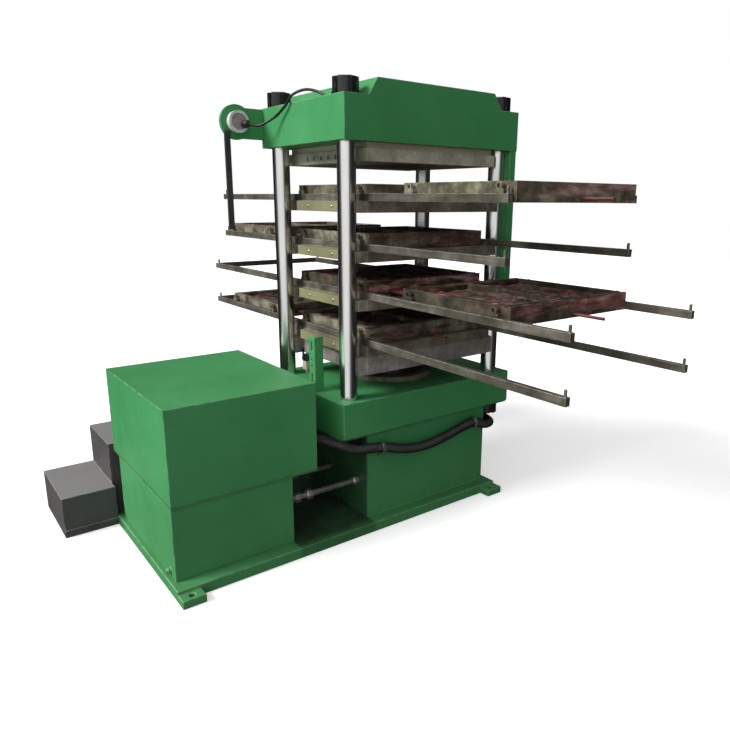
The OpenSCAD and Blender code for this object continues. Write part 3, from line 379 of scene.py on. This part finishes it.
# The chip colour of the green coat is lighter than the paint: along the edges it is partly wear and partly a
# painted highlight on the sheet bends.
green_coat = dict(
    colour=(0.066, 0.305, 0.108), deep=(0.046, 0.250, 0.084), chip_and_sheen=(0.23, 0.42, 0.22), dust=0.40,
    flat_dust=0.14, gloss=(0.36, 0.52), specular=0.32)
machine_green = enamel("machine_green", **green_coat, rub=0.007, cover=0.59)
# This green carries a dark film on the skid plate and the bed box between the tank and the bed: partly oil,
# partly painted shade under the power unit.
oily_shaded_green = enamel(
    "oily_shaded_green", **green_coat, rub=0.009, cover=0.63,
    oily_shaded=(gap_mid, gap_half + film_over, bed_hi[1] - film_inset, bed_hi[1] + film_fade))
seam_green = enamel(
    "seam_green", colour=(0.052, 0.245, 0.087), deep=(0.040, 0.200, 0.068), chip_and_sheen=(0.060, 0.240, 0.090),
    rub=0.002, cover=0.20)


def coat(material, *names):
    """Gives a finish to CAD nodes: every slot of each node's mesh takes the material."""
    for name in names:
        mesh = solids[name].data
        if not mesh.materials:
            mesh.materials.append(material)
        for i in range(len(mesh.materials)):
            mesh.materials[i] = material


coat(oily_shaded_green, "base_plate", "bed_body")
coat(seam_green, "deck_plate")
coat(machine_green, "bed_table", "top_beam", "oil_tank", "power_hood", "sensor_arm",
     "limit_post", "wiring_duct")


def grid_faces(rows, columns, joined):
    """The quads between neighbours on a grid of points, row by row. Joined rows close from their last
    point to their first."""
    i, j = np.meshgrid(np.arange(rows - 1), np.arange(columns if joined else columns - 1), indexing="ij")
    here, beside = i * columns + j, i * columns + (j + 1) % columns
    return np.stack([here, here + columns, beside + columns, beside], -1).reshape(-1, 4).tolist()


def outward(points, faces):
    """The faces of a closed surface, all turned round if its signed volume is negative: the sum of a . (b
    x c) over the triangles that fan out from each face's first corner."""
    fans = [(face[0], face[i], face[i + 1]) for face in faces for i in range(1, len(face) - 1)]
    a, b, c = points[np.array(fans)].transpose(1, 0, 2)
    return faces if np.sum(a * np.cross(b, c)) > 0 else [face[::-1] for face in faces]


def swept(profile, path, sideways, upward):
    """A closed profile carried along an open path, with flat end caps:
    point(i, j) = path[i] + profile[j, 0] * sideways[i] + profile[j, 1] * upward[i]."""
    path, profile = np.asarray(path, float), np.asarray(profile, float)
    sideways, upward = np.broadcast_to(sideways, path.shape), np.broadcast_to(upward, path.shape)
    points = path[:, None] + profile[:, :1] * sideways[:, None] + profile[:, 1:] * upward[:, None]
    n, m = points.shape[:2]
    points = points.reshape(-1, 3)
    caps = [list(range(m)), list(range((n - 1) * m, n * m))[::-1]]
    return points, outward(points, grid_faces(n, m, joined=True) + caps)


def gathered(parts):
    """Several surfaces as one: points stacked, faces shifted by the number of points before them."""
    points, faces, count = [], [], 0
    for part, part_faces in parts:
        points.append(part)
        faces += [[corner + count for corner in face] for face in part_faces]
        count += len(part)
    return np.concatenate(points), faces


def weld_bead(start, end, out_a, out_b, size=0.007, ripple=0.011):
    """Fillet weld between two plates: a quarter round profile carried along a line, whose size swings by a
    tenth once every ripple length, and by a little less at a pace that drifts against it."""
    start, end, out_a, out_b = (np.asarray(v, float) for v in (start, end, out_a, out_b))
    length = np.linalg.norm(end - start)
    t = np.linspace(0.0, 1.0, max(int(length / ripple * 3), 4))
    turn = np.linspace(0.0, np.pi / 2, 5)
    root, beat_share, drift_share, drift_pace = -0.25, 0.10, 0.06, 7.0
    profile = np.concatenate([np.stack([np.cos(turn), np.sin(turn)], 1), [[root, root]]])
    beat, drift = np.sin(2 * np.pi * t * length / ripple), np.sin(drift_pace * t * length / ripple)
    swing = size * (1.0 + beat_share * beat + drift_share * drift)[:, None]
    return swept(profile, start + t[:, None] * (end - start), swing * out_a, swing * out_b)


weld_inset = 0.004
beads = []
for z, up in ((bed_lo[2], 1.0), (bed_hi[2], -1.0)):
    left, right = bed_lo[0] + weld_inset, bed_hi[0] - weld_inset
    near, far = bed_lo[1] + weld_inset, bed_hi[1] - weld_inset
    for y, out in ((bed_lo[1], -1.0), (bed_hi[1], 1.0)):
        beads.append(weld_bead((left, y, z), (right, y, z), (0, out, 0), (0, 0, up)))
    for x, out in ((bed_lo[0], -1.0), (bed_hi[0], 1.0)):
        beads.append(weld_bead((x, near, z), (x, far, z), (out, 0, 0), (0, 0, up)))
mesh_piece("bed_weld_seams", *gathered(beads), "frame", oily_shaded_green)

# Columns: four ground and hard chromed bars. They are kept oiled, so they are
# bright, with a fine turned grain and a few dull smears. The ram is finished alike.
bright_chrome, tree, surface = new_finish("bright_chrome", metallic=1.0)
smear = noise_of(tree, scale=5.0, stretch=(1.0, 1.0, 0.35))
smear_tone = ramp_of(tree, smear, (0.35, (0.80, 0.80, 0.79)), (0.75, (0.62, 0.61, 0.58)))
turned_grain = noise_of(tree, scale=60.0, detail=2.0, stretch=(0.3, 0.3, 30.0))
feed(tree, surface["Base Color"], smear_tone)
feed(tree, surface["Roughness"], ramp_of(tree, smear, (0.35, 0.15), (0.78, 0.26)))
feed(tree, surface["Normal"], bump_of(tree, turned_grain, strength=0.25, depth=0.00005))
coat(bright_chrome, "columns", "ram")

# Column nuts, gland ring and screws, switch lever: turned steel with a black
# oxide skin, bare along the corners where a hook spanner has rubbed them.


def worn_steel(name, dark, mid, light, rough=(0.35, 0.6), metallic=0.55, grain=(1.0, 0.08, 1.0),
               grain_scale=70.0, rub=0.0025, cover=0.5, shine=(0.35, 0.34, 0.32), dust=0.25, flat_dust=0.25):
    """Bare or scaled steel: three shades drift in patches, a long grain follows one axis, and the edges are
    rubbed bright."""
    grime = (0.075, 0.060, 0.045)
    material, tree, surface = new_finish(name, metallic)
    patches = noise_of(tree, scale=7.0, detail=7.0, spread=0.62)
    patches = ramp_of(tree, patches, (0.30, dark), (0.52, mid), (0.74, light))
    lines = noise_of(tree, grain_scale, detail=3.0, stretch=grain)
    tone = blend_of(tree, ramp_of(tree, lines, (0.42, 0.0), (0.70, 0.45)), patches, dark)
    dirt = shared(tree, shop_dust, Low=dust, Flat=flat_dust, Scale=9.0)
    tone = blend_of(tree, dirt["Mask"], tone, grime)
    edge = shared(tree, edge_rub_and_sheen, Radius=rub, Breakup=40.0, Cover=cover)
    feed(tree, surface["Base Color"], blend_of(tree, edge["Mask"], tone, shine))
    dull = noise_of(tree, scale=18.0, detail=5.0)
    feed(tree, surface["Roughness"], ramp_of(tree, dull, (0.3, rough[0]), (0.75, rough[1])))
    feed(tree, surface["Normal"], bump_of(tree, lines, strength=0.5, depth=0.0004, normal=edge["Normal"]))
    return material


black_oxide = worn_steel(
    "black_oxide", dark=(0.012, 0.012, 0.013), mid=(0.022, 0.021, 0.023), light=(0.045, 0.042, 0.044),
    rough=(0.30, 0.5), metallic=0.5, grain=(1.0, 1.0, 0.1), grain_scale=80.0, rub=0.003, cover=0.46,
    shine=(0.20, 0.19, 0.19), dust=0.0, flat_dust=0.12)
coat(black_oxide, "column_nuts", "gland_ring", "gland_screws", "limit_lever")

# Hanger bar: a flat bar of dark rolled steel that hangs from the sensor arm,
# with a thin coat of rust and oil.
dark_bar = worn_steel(
    "dark_bar", dark=(0.020, 0.019, 0.017), mid=(0.046, 0.045, 0.041), light=(0.095, 0.092, 0.084),
    rough=(0.4, 0.65), metallic=0.35, grain=(1.0, 1.0, 0.06), grain_scale=90.0, rub=0.002, cover=0.48,
    shine=(0.16, 0.155, 0.145))
coat(dark_bar, "hanger_bar")

# Platens, guide shoes and cylinder: thick steel that is heated every cycle, grey
# brown with heat stain, scale and scratches along the draw. A pale insulating
# board lies between the top beam and the fixed top platen, which is baked pale.
layers = (1, 2, 3, 4)
platen_steel = worn_steel(
    "platen_steel", dark=(0.092, 0.078, 0.056), mid=(0.240, 0.212, 0.160), light=(0.420, 0.384, 0.300),
    rough=(0.42, 0.68), metallic=0.30)
coat(platen_steel, "main_cylinder", *(f"platen_{k}" for k in layers))
coat(platen_steel, *(f"guide_shoes_{k}" for k in layers[:3]))
heat_board = enamel(
    "insulating_board", colour=(0.60, 0.54, 0.42), deep=(0.42, 0.37, 0.28), chip_and_sheen=(0.50, 0.46, 0.38),
    dust=0.0, gloss=(0.75, 0.9), peel=0.0006)
coat(heat_board, "heat_board")
baked_steel = worn_steel(
    "baked_steel", dark=(0.195, 0.184, 0.144), mid=(0.43, 0.422, 0.335), light=(0.66, 0.652, 0.540),
    rough=(0.45, 0.7), metallic=0.1)
coat(baked_steel, "top_platen")

# Heater covers: folded sheet in cream paint on the left edge of each platen,
# held by pan head screws, yellowed and stained by heat and release agent.
cream_paint = enamel(
    "cream_paint", colour=(0.295, 0.292, 0.155), deep=(0.112, 0.103, 0.053), chip_and_sheen=(0.11, 0.095, 0.075),
    rub=0.003, cover=0.52, dust=0.0, flat_dust=0.6, gloss=(0.38, 0.6))
coat(cream_paint, *(f"heater_cover_{k}" for k in layers))

# Moving table: a ribbed cast slab that stands on the ram, machined and left
# light grey, with stains of oil and heat.
grey_slab = worn_steel(
    "grey_slab", dark=(0.13, 0.118, 0.104), mid=(0.28, 0.262, 0.236), light=(0.46, 0.44, 0.405),
    rough=(0.45, 0.7), metallic=0.1)
coat(grey_slab, "moving_table")

# Rails and stop pins: flat bars welded to the platens, brown on the sides and
# rubbed bright along the top where the moulds slide.
rail_steel = worn_steel(
    "rail_steel", dark=(0.035, 0.030, 0.022), mid=(0.120, 0.108, 0.086), light=(0.260, 0.240, 0.200),
    rough=(0.38, 0.6), metallic=0.30, grain=(1.0, 0.04, 1.0), grain_scale=90.0, rub=0.004, cover=0.62,
    shine=(0.34, 0.33, 0.30))
coat(rail_steel, *(f"rails_{k}" for k in layers))

# Moulds: steel trays with two cavities, olive brown with scale. Dark red rubber
# crumbs and flash stay on the rims and the webs, and streak the front edge.


def scaled_mould(name, stain, scale, rubber):
    """Scaled tray steel: patches in the three scale tones, rubbed rims, and stains in the three rubber
    tones that are stretched along X on front faces."""
    top_share, crumb_share = 0.8, 0.10
    material, tree, surface = new_finish(name, metallic=0.15)
    patches = noise_of(tree, scale=11.0, detail=9.0, spread=0.68)
    patches = ramp_of(tree, patches, *zip((0.33, 0.49, 0.66), scale))
    edge = shared(tree, edge_rub_and_sheen, Radius=0.004, Breakup=34.0, Cover=0.52)
    tone = blend_of(tree, edge["Mask"], patches, scale[2])
    way = parts_of(tree, node_of(tree, "NewGeometry").outputs["Normal"])
    front = minus(tree, times(tree, way["Y"], -1.0), 0.5, clamp=True)
    front = times(tree, front, 2.0, clamp=True)
    top = math_of(tree, "MAXIMUM", way["Z"], 0.0)
    streak = noise_of(
        tree, scale=13.0, detail=6.0, stretch=(0.22, 1.0, 1.6), offset=(0.3, 0.0, 2.2), spread=0.62)
    streak = ramp_of(tree, streak, (0.46, 0.0), (0.56, 1.0))
    crumb = noise_of(tree, scale=12.0, detail=7.0, offset=(0.7, 2.3, 0.1), spread=0.66)
    crumb = ramp_of(tree, crumb, (0.50, 0.0), (0.58, 1.0))
    fleck = noise_of(tree, scale=26.0, detail=6.0, stretch=(0.40, 1.0, 1.5), spread=0.60)
    fleck = ramp_of(tree, fleck, *zip((0.36, 0.52, 0.66), rubber))
    on_front = times(tree, times(tree, front, streak), stain)
    on_top = times(tree, times(tree, top, crumb), top_share)
    red = plus(tree, on_front, on_top, clamp=True)
    red = plus(tree, red, times(tree, crumb, crumb_share), clamp=True)
    feed(tree, surface["Base Color"], blend_of(tree, red, tone, fleck))
    feed(tree, surface["Roughness"], ramp_of(tree, noise_of(tree, scale=26.0), (0.3, 0.5), (0.75, 0.85)))
    pitted = noise_of(tree, scale=48.0, detail=7.0, spread=0.68)
    feed(tree, surface["Normal"], bump_of(tree, pitted, strength=0.8, depth=0.0016, normal=edge["Normal"]))
    return material


mould_scale = scaled_mould(
    "mould_scale", 0.85, ((0.026, 0.020, 0.014), (0.115, 0.103, 0.068), (0.310, 0.305, 0.220)),
    ((0.040, 0.014, 0.012), (0.105, 0.042, 0.038), (0.215, 0.115, 0.105)))
mould_stained_shaded = scaled_mould(
    "mould_stained_shaded", 1.0, ((0.008, 0.0065, 0.004), (0.033, 0.028, 0.016), (0.088, 0.078, 0.047)),
    ((0.070, 0.030, 0.025), (0.235, 0.090, 0.084), (0.470, 0.270, 0.255)))
mould_pale_lit = scaled_mould(
    "mould_pale_lit", 0.85, ((0.024, 0.020, 0.012), (0.096, 0.090, 0.052), (0.255, 0.258, 0.165)),
    ((0.095, 0.052, 0.043), (0.250, 0.145, 0.130), (0.440, 0.315, 0.290)))
# The layers differ partly by real stain and partly by painted light: the top layer's pale finish is lighter
# as a painted highlight, the third layer's stained finish darker as painted shade inside the stack.
for k, steel in zip(layers, (mould_pale_lit, mould_scale, mould_stained_shaded, mould_scale)):
    coat(steel, f"mold_front_{k}", f"mold_rear_{k}")

# Draw gear: the flat bars between the two moulds of a layer and the round pull
# rod at the front, mild steel, brown and coated with old red rubber.
pull_red = worn_steel(
    "pull_red", dark=(0.040, 0.014, 0.012), mid=(0.150, 0.030, 0.028), light=(0.240, 0.075, 0.066),
    rough=(0.45, 0.7), metallic=0.1, rub=0.002, cover=0.45, shine=(0.28, 0.20, 0.17))
coat(pull_red, *(f"draw_gear_{k}" for k in layers))

# Rubber left in the cavities: torn skins of cured red and black rubber crumb
# that stick to the cavity floors, a few millimetres thick and lumpy.
rubber_tones = (
    (0.32, (0.010, 0.007, 0.006)), (0.43, (0.050, 0.030, 0.024)), (0.49, (0.120, 0.104, 0.076)),
    (0.545, (0.150, 0.042, 0.040)), (0.60, (0.085, 0.017, 0.017)), (0.70, (0.018, 0.008, 0.007)))
cured_rubber, tree, surface = new_finish("cured_rubber")
lumps = noise_of(tree, scale=8.0, detail=8.0, spread=0.62, twist=1.2)
feed(tree, surface["Base Color"], ramp_of(tree, lumps, *rubber_tones))
dull = noise_of(tree, scale=40.0, detail=3.0)
feed(tree, surface["Roughness"], ramp_of(tree, dull, (0.3, 0.6), (0.7, 0.9)))
feed(tree, surface["Normal"], bump_of(tree, noise_of(tree, scale=120.0), strength=0.9, depth=0.002))


def torn_skin(centre, half_x, half_y, seed):
    """Crumpled sheet over a cavity floor. Slow sine waves bend the plane's coordinates, two crossing sets of
    ridges 1 - |sin| follow them, and height = slow swell + ridges, brought down to the floor at the walls."""
    clear, swell_h, fold_a_h, fold_b_h, wall_slope = 0.0015, 0.0110, 0.0055, 0.0045, 8.0
    bend, bend_x_per, bend_y_per = 0.022, 0.031, 0.027
    ripple, ripple_x_per, ripple_y_per = 0.010, 0.014, 0.012
    fold_a_per, fold_b_per, swell_x_per, swell_y_per = 0.022, 0.030, 0.036, 0.048
    across, along = np.linspace(-1.0, 1.0, 52), np.linspace(-1.0, 1.0, 88)
    wave = np.random.default_rng(seed)
    u, v = np.meshgrid(across, along, indexing="ij")
    x, y = u * half_x, v * half_y
    phase, lean = wave.uniform(0, 2 * np.pi, 8), wave.uniform(0.5, 1.1)
    bent_x = x + bend * np.sin(y / bend_x_per + phase[0]) + ripple * np.sin((x + y) / ripple_x_per + phase[1])
    bent_y = y + bend * np.sin(x / bend_y_per + phase[2]) + ripple * np.sin((x - y) / ripple_y_per + phase[3])
    over_a = bent_x * np.cos(lean) + bent_y * np.sin(lean)
    over_b = bent_y * np.cos(lean) - bent_x * np.sin(lean)
    fold_a = 1.0 - np.abs(np.sin(over_a / fold_a_per + phase[4]))
    fold_b = 1.0 - np.abs(np.sin(over_b / fold_b_per + phase[5]))
    swell = 0.5 + 0.5 * np.sin(bent_x / swell_x_per + phase[6]) * np.sin(bent_y / swell_y_per + phase[7])
    wall = np.clip((1.0 - np.maximum(np.abs(u), np.abs(v))) * wall_slope, 0.0, 1.0)
    z = clear + wall * (swell_h * swell + fold_a_h * fold_a + fold_b_h * fold_b)
    points = np.stack([centre[0] + x, centre[1] + y, centre[2] + z], -1)
    return points.reshape(-1, 3), grid_faces(*u.shape, joined=False)


cavity_x, cavity_depth, skin_half_x, skin_half_y = 0.163, 0.026, 0.141, 0.248
for k in layers:
    for end in ("front", "rear"):
        lo, hi = corners(f"mold_{end}_{k}")
        mid_y, floor_z, seed = (lo[1] + hi[1]) / 2, hi[2] - cavity_depth, 20 * k + 7 * len(end)
        left_skin = torn_skin((-cavity_x, mid_y, floor_z), skin_half_x, skin_half_y, seed)
        right_skin = torn_skin((cavity_x, mid_y, floor_z), skin_half_x, skin_half_y, seed + 1)
        skins = gathered([left_skin, right_skin])
        skin = mesh_piece(f"rubber_skin_{end}_{k}", *skins, f"mold_pair_{k}", cured_rubber)
        thick = skin.modifiers.new("skin_thickness", "SOLIDIFY")
        thick.thickness, thick.offset = 0.0012, -1.0

# Power unit under the hood: blue grey motor, cast pump, coupling and valve block,
# zinc plated pipes and conduit fittings.
motor_blue = enamel(
    "motor_blue", colour=(0.065, 0.095, 0.135), deep=(0.045, 0.068, 0.10), chip_and_sheen=(0.25, 0.25, 0.25), dust=0.4)
coat(motor_blue, "pump_motor")
cast_grey = worn_steel(
    "cast_grey", dark=(0.085, 0.085, 0.088), mid=(0.145, 0.145, 0.148), light=(0.21, 0.21, 0.21),
    rough=(0.5, 0.75), metallic=0.35)
coat(cast_grey, "hydraulic_pump", "motor_coupling", "valve_block")
zinc_pipe = worn_steel(
    "zinc_pipe", dark=(0.18, 0.17, 0.15), mid=(0.34, 0.33, 0.30), light=(0.50, 0.49, 0.46),
    rough=(0.25, 0.5), metallic=0.75)
coat(zinc_pipe, "pressure_pipe", "return_pipe", "conduit_fittings")

# Encoder: a white moulded housing on the arm at the beam's rear left, with a
# dull pinkish grey metal face in its middle.


def parted(name, outer, inner, centre, keep, limit):
    """Two tone moulding: the outer colour lies farther than limit from a line or plane through centre, the
    inner one nearer; keep says which coordinates count."""
    material, tree, surface = new_finish(name)
    off = vector_of(tree, "SUBTRACT", node_of(tree, "TexCoord").outputs["Object"], centre)
    off = vector_of(tree, "LENGTH", vector_of(tree, "MULTIPLY", off, keep))
    tone = blend_of(tree, math_of(tree, "GREATER_THAN", off, limit), inner, outer)
    stain = ramp_of(tree, noise_of(tree, scale=40.0, detail=6.0), (0.35, 0.70), (0.70, 1.0))
    feed(tree, surface["Base Color"], blend_of(tree, 1.0, tone, stain, "MULTIPLY"))
    gloss = noise_of(tree, scale=60.0, detail=3.0)
    feed(tree, surface["Roughness"], ramp_of(tree, gloss, (0.3, 0.30), (0.7, 0.48)))
    edge = shared(tree, edge_rub_and_sheen, Radius=0.0025, Breakup=30.0, Cover=0.2)
    feed(tree, surface["Normal"], edge["Normal"])
    return material


encoder_housing = parted(
    "encoder_housing", outer=(0.78, 0.76, 0.77), inner=(0.40, 0.34, 0.35), centre=(-0.632, 0.0, 1.835),
    keep=(1.0, 0.0, 1.0), limit=0.0365)
coat(encoder_housing, "encoder_disc")

# Limit switch: cream moulded box on the slotted post, with a black head that
# holds the lever's spindle.
switch_top = corners("limit_switch")[1][2]
switch_housing = parted(
    "switch_housing", outer=(0.50, 0.47, 0.36), inner=(0.020, 0.020, 0.021), centre=(0.0, 0.0, switch_top),
    keep=(0.0, 0.0, 1.0), limit=0.030)
coat(switch_housing, "limit_switch")

# Operator step: two treads of folded steel sheet, sprayed dark grey and scuffed
# where they are trodden on. A thin lip runs along the toe.
step_grey = enamel(
    "step_grey", colour=(0.076, 0.072, 0.071), deep=(0.048, 0.046, 0.045), chip_and_sheen=(0.30, 0.29, 0.28), rub=0.006,
    cover=0.55, dust=0.1, flat_dust=1.5, gloss=(0.4, 0.62), soil=(0.30, 0.29, 0.285))
coat(step_grey, "operator_step")
step_lo, step_hi = corners("operator_step")
lip_z, lip_inset = 0.026, 0.002
lip = [(0.0, 0.0), (0.0, 0.010), (-0.003, 0.012), (-0.005, 0.010), (-0.005, 0.0)]
lip_path = [(x, step_lo[1], lip_z) for x in (step_lo[0] + lip_inset, step_hi[0] - lip_inset)]
lip_sheet = swept(lip, lip_path, (0.0, 1.0, 0.0), (0.0, 0.0, 1.0))
mesh_piece("step_toe_lip", *lip_sheet, "frame", step_grey, smooth=False)

# Conduit: corrugated black plastic hose from the hood along the bed front to
# its gland on the right wall, about 45 mm across, clipped in two places.
black_sleeve = enamel(
    "black_sleeve", colour=(0.016, 0.016, 0.017), deep=(0.010, 0.010, 0.011), chip_and_sheen=(0.05, 0.05, 0.05),
    rub=0.002, cover=0.3, dust=0.0, gloss=(0.32, 0.5))


def eased(points, spacing):
    """Smooth curve through points: between neighbours b and c, with a before and d after,
    0.5 (2b + (c-a)t + (2a-5b+4c-d)t^2 + (3b-a-3c+d)t^3), then even steps of about the given spacing."""
    p = np.asarray(points, float)
    b, c = p[:-1], p[1:]
    a, d = np.concatenate([p[:1], p[:-2]]), np.concatenate([p[2:], p[-1:]])
    t = np.linspace(0.0, 1.0, 24, endpoint=False)[None, :, None]
    a, b, c, d = (v[:, None, :] for v in (a, b, c, d))
    square, cube = 2 * a - 5 * b + 4 * c - d, 3 * b - a - 3 * c + d
    fine = 0.5 * (2 * b + (c - a) * t + square * t ** 2 + cube * t ** 3)
    fine = np.concatenate([fine.reshape(-1, 3), p[-1:]])
    run = np.concatenate([[0.0], np.cumsum(np.linalg.norm(np.diff(fine, axis=0), axis=1))])
    even = np.linspace(0.0, run[-1], int(run[-1] / spacing) + 1)
    return np.stack([np.interp(even, run, fine[:, i]) for i in range(3)], 1), even


def hose(points, spacing, radius_at, sides):
    """Round tube along a curve, ring by ring: radius_at gives the radius for each distance along it.
    Returns the tube's points and faces, the curve and its length."""
    path, run = eased(points, spacing)
    ahead = np.gradient(path, axis=0)
    ahead /= np.linalg.norm(ahead, axis=1)[:, None]
    never_ahead = (0.13, 0.11, 0.98)
    across = np.cross(ahead, never_ahead)
    across /= np.linalg.norm(across, axis=1)[:, None]
    turn = np.linspace(0.0, 2 * np.pi, sides, endpoint=False)
    ring, radius = np.stack([np.cos(turn), np.sin(turn)], 1), radius_at(run)[:, None]
    return *swept(ring, path, radius * across, radius * np.cross(across, ahead)), path, run[-1]


conduit_route = np.array([
    (-652, -294, 482), (-600, -298, 474), (-539, -357, 451), (-455, -359, 413), (-312, -359, 391),
    (-216, -359, 363), (-120, -359, 344), (-20, -359, 343), (80, -359, 359), (190, -359, 383),
    (270, -359, 393), (355, -359, 366), (411, -337, 362), (447, -269, 358), (445, -215, 358),
    (419, -189, 358), (399, -185, 358), (380, -185, 358)]) / 1000.0
rib_pitch, rib_mid, rib_swing = 0.0075, 0.0212, 0.0016
ribbed_tube, ribbed_faces, _, _ = hose(
    conduit_route, rib_pitch / 6, lambda run: rib_mid - rib_swing * np.cos(2 * np.pi * run / rib_pitch), 20)
conduit = mesh_piece("corrugated_conduit", ribbed_tube, ribbed_faces, "frame", black_sleeve)
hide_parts("cable_conduit")

# Encoder cable: a 12 mm round cable from the plug on the disc, over the beam's
# edge, to a gland on the beam's top. Plug and gland are black mouldings.
cable_route = np.array([
    (-604, 271, 1825), (-570, 233, 1817), (-528, 163, 1849), (-513, 93, 1889), (-503, 43, 1931),
    (-467.3, -2, 1951), (-433.1, -47, 1943), (-413.3, -97, 1919), (-407, -147, 1910)]) / 1000.0
cable_d, cable_step = 0.012, 0.006
cable_tube, cable_faces, cable_path, cable_length = hose(
    cable_route, cable_step, lambda run: np.full_like(run, cable_d / 2), 16)
cable = mesh_piece("encoder_cable", cable_tube, cable_faces, "frame", black_sleeve)
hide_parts("sensor_cable")


def turned(profile, foot, axis, sides=24):
    """A turned piece: each profile row is (radius, height), and point(i, j) = foot + radius (u cos j + v
    sin j) + height axis, with u and v square to the axis."""
    profile, foot, axis = np.asarray(profile, float), np.asarray(foot, float), np.asarray(axis, float)
    u = np.cross(axis, [0.0, 0.0, 1.0] if abs(axis[2]) < 0.9 else [1.0, 0.0, 0.0])
    u /= np.linalg.norm(u)
    turn = np.linspace(0.0, 2 * np.pi, sides, endpoint=False)
    ring = np.stack([np.cos(turn), np.sin(turn)], 1)
    radius = np.maximum(profile[:, :1], 1e-5)
    return swept(ring, foot + profile[:, 1:] * axis, radius * u, radius * np.cross(axis, u))


plug_foot, gland_foot = (-0.608, 0.305, 1.825), (-0.407, -0.153, 1.903)
flange_r, barrel_r, grip_rise, grip_pitch = 0.018, 0.0165, 0.0015, 0.003
plug_rings = [(0.0, 0.0), (flange_r, 0.0), (flange_r, 0.004), (barrel_r, 0.006)]
plug_rings += [(barrel_r + grip_rise * (i % 2), 0.007 + grip_pitch * i) for i in range(7)]
plug_rings += [(barrel_r, 0.029), (barrel_r, 0.033), (0.012, 0.038), (0.0085, 0.040), (0.0, 0.040)]
gland_rings = [(0.0, 0.0), (flange_r, 0.0), (flange_r, 0.012), (barrel_r, 0.014), (barrel_r, 0.028)]
gland_rings += [(0.013, 0.034), (0.0, 0.036)]
ends = gathered([turned(plug_rings, plug_foot, (0, -1, 0)), turned(gland_rings, gland_foot, (0, 0, 1))])
cable_ends = mesh_piece("encoder_plug_and_gland", *ends, "frame", black_sleeve)
softened = cable_ends.modifiers.new("softened_edges", "BEVEL")
softened.width, softened.segments, softened.limit_method = 0.0006, 2, "ANGLE"

# Heater cover screws: two zinc pan heads over the holes of each cover, with a
# bright terminal fitting screwed into its front end.
zinc_screw = worn_steel(
    "zinc_screw", dark=(0.30, 0.29, 0.27), mid=(0.46, 0.45, 0.42), light=(0.60, 0.59, 0.56),
    rough=(0.25, 0.42), metallic=0.8, dust=0.0, flat_dust=0.0)


def pan_head(foot, axis, radius):
    """Pan head: a flat washer rim, then a quarter round crown."""
    rim_r, rim_h = 1.35 * radius, 0.15 * radius
    turn = np.linspace(0.0, np.pi / 2, 5)
    crown = np.stack([radius * np.cos(turn), radius * (0.18 + 0.45 * np.sin(turn))], 1)
    return turned(np.concatenate([[(0.0, 0.0), (rim_r, 0.0), (rim_r, rim_h)], crown]), foot, axis, 14)


head_r = 0.006
fitting_rings = [(0.0, 0.0), (0.013, 0.0), (0.013, 0.006), (0.009, 0.008), (0.009, 0.014), (0.011, 0.016)]
fitting_rings += [(0.011, 0.026), (0.007, 0.030), (0.0, 0.030)]
for k, body in zip(layers, ("platen_1", "platen_2", "platen_3", "ram_table")):
    lo, hi = corners(f"heater_cover_{k}")
    middle, quarter = (lo + hi) / 2, (hi[1] - lo[1]) / 4
    hole_ys = (middle[1] - quarter, middle[1] + quarter)
    heads = [pan_head((lo[0], y, middle[2]), (-1, 0, 0), head_r) for y in hole_ys]
    heads.append(turned(fitting_rings, (middle[0], lo[1], middle[2]), (0, -1, 0), 18))
    mesh_piece(f"heater_cover_screws_{k}", *gathered(heads), body, zinc_screw)

# Drain line: a zinc plated pipe that takes the cylinder's leak oil from the bed
# back to the tank, screwed in with hexagon couplings at both walls, with the two
# nuts of a union between them.
drain_y, drain_z, pipe_r, hex_r = -0.250, 0.210, 0.0135, 0.023
collar_l, collar_edge, collar_face_r = 0.030, 0.003, 0.88 * hex_r
union_near, union_far = 0.045, 0.105
collar = [(0.0, 0.0), (collar_face_r, 0.0), (hex_r, collar_edge)]
collar += [(hex_r, collar_l - collar_edge), (collar_face_r, collar_l), (0.0, collar_l)]
pipe_l = bed_lo[0] - tank_hi[0]
pipe = [(0.0, 0.0), (pipe_r, 0.0), (pipe_r, pipe_l), (0.0, pipe_l)]
line = [turned(pipe, (tank_hi[0], drain_y, drain_z), (1, 0, 0))]
for along in (0.0, union_near, union_far, pipe_l - collar_l):
    line.append(turned(collar, (tank_hi[0] + along, drain_y, drain_z), (1, 0, 0), 6))
# The drain line takes the lighter screw zinc instead of the pipe zinc, as a painted highlight on a pipe that
# lies in the shade under the hood.
drain = mesh_piece("drain_line", *gathered(line), "frame", zinc_screw, smooth=False)
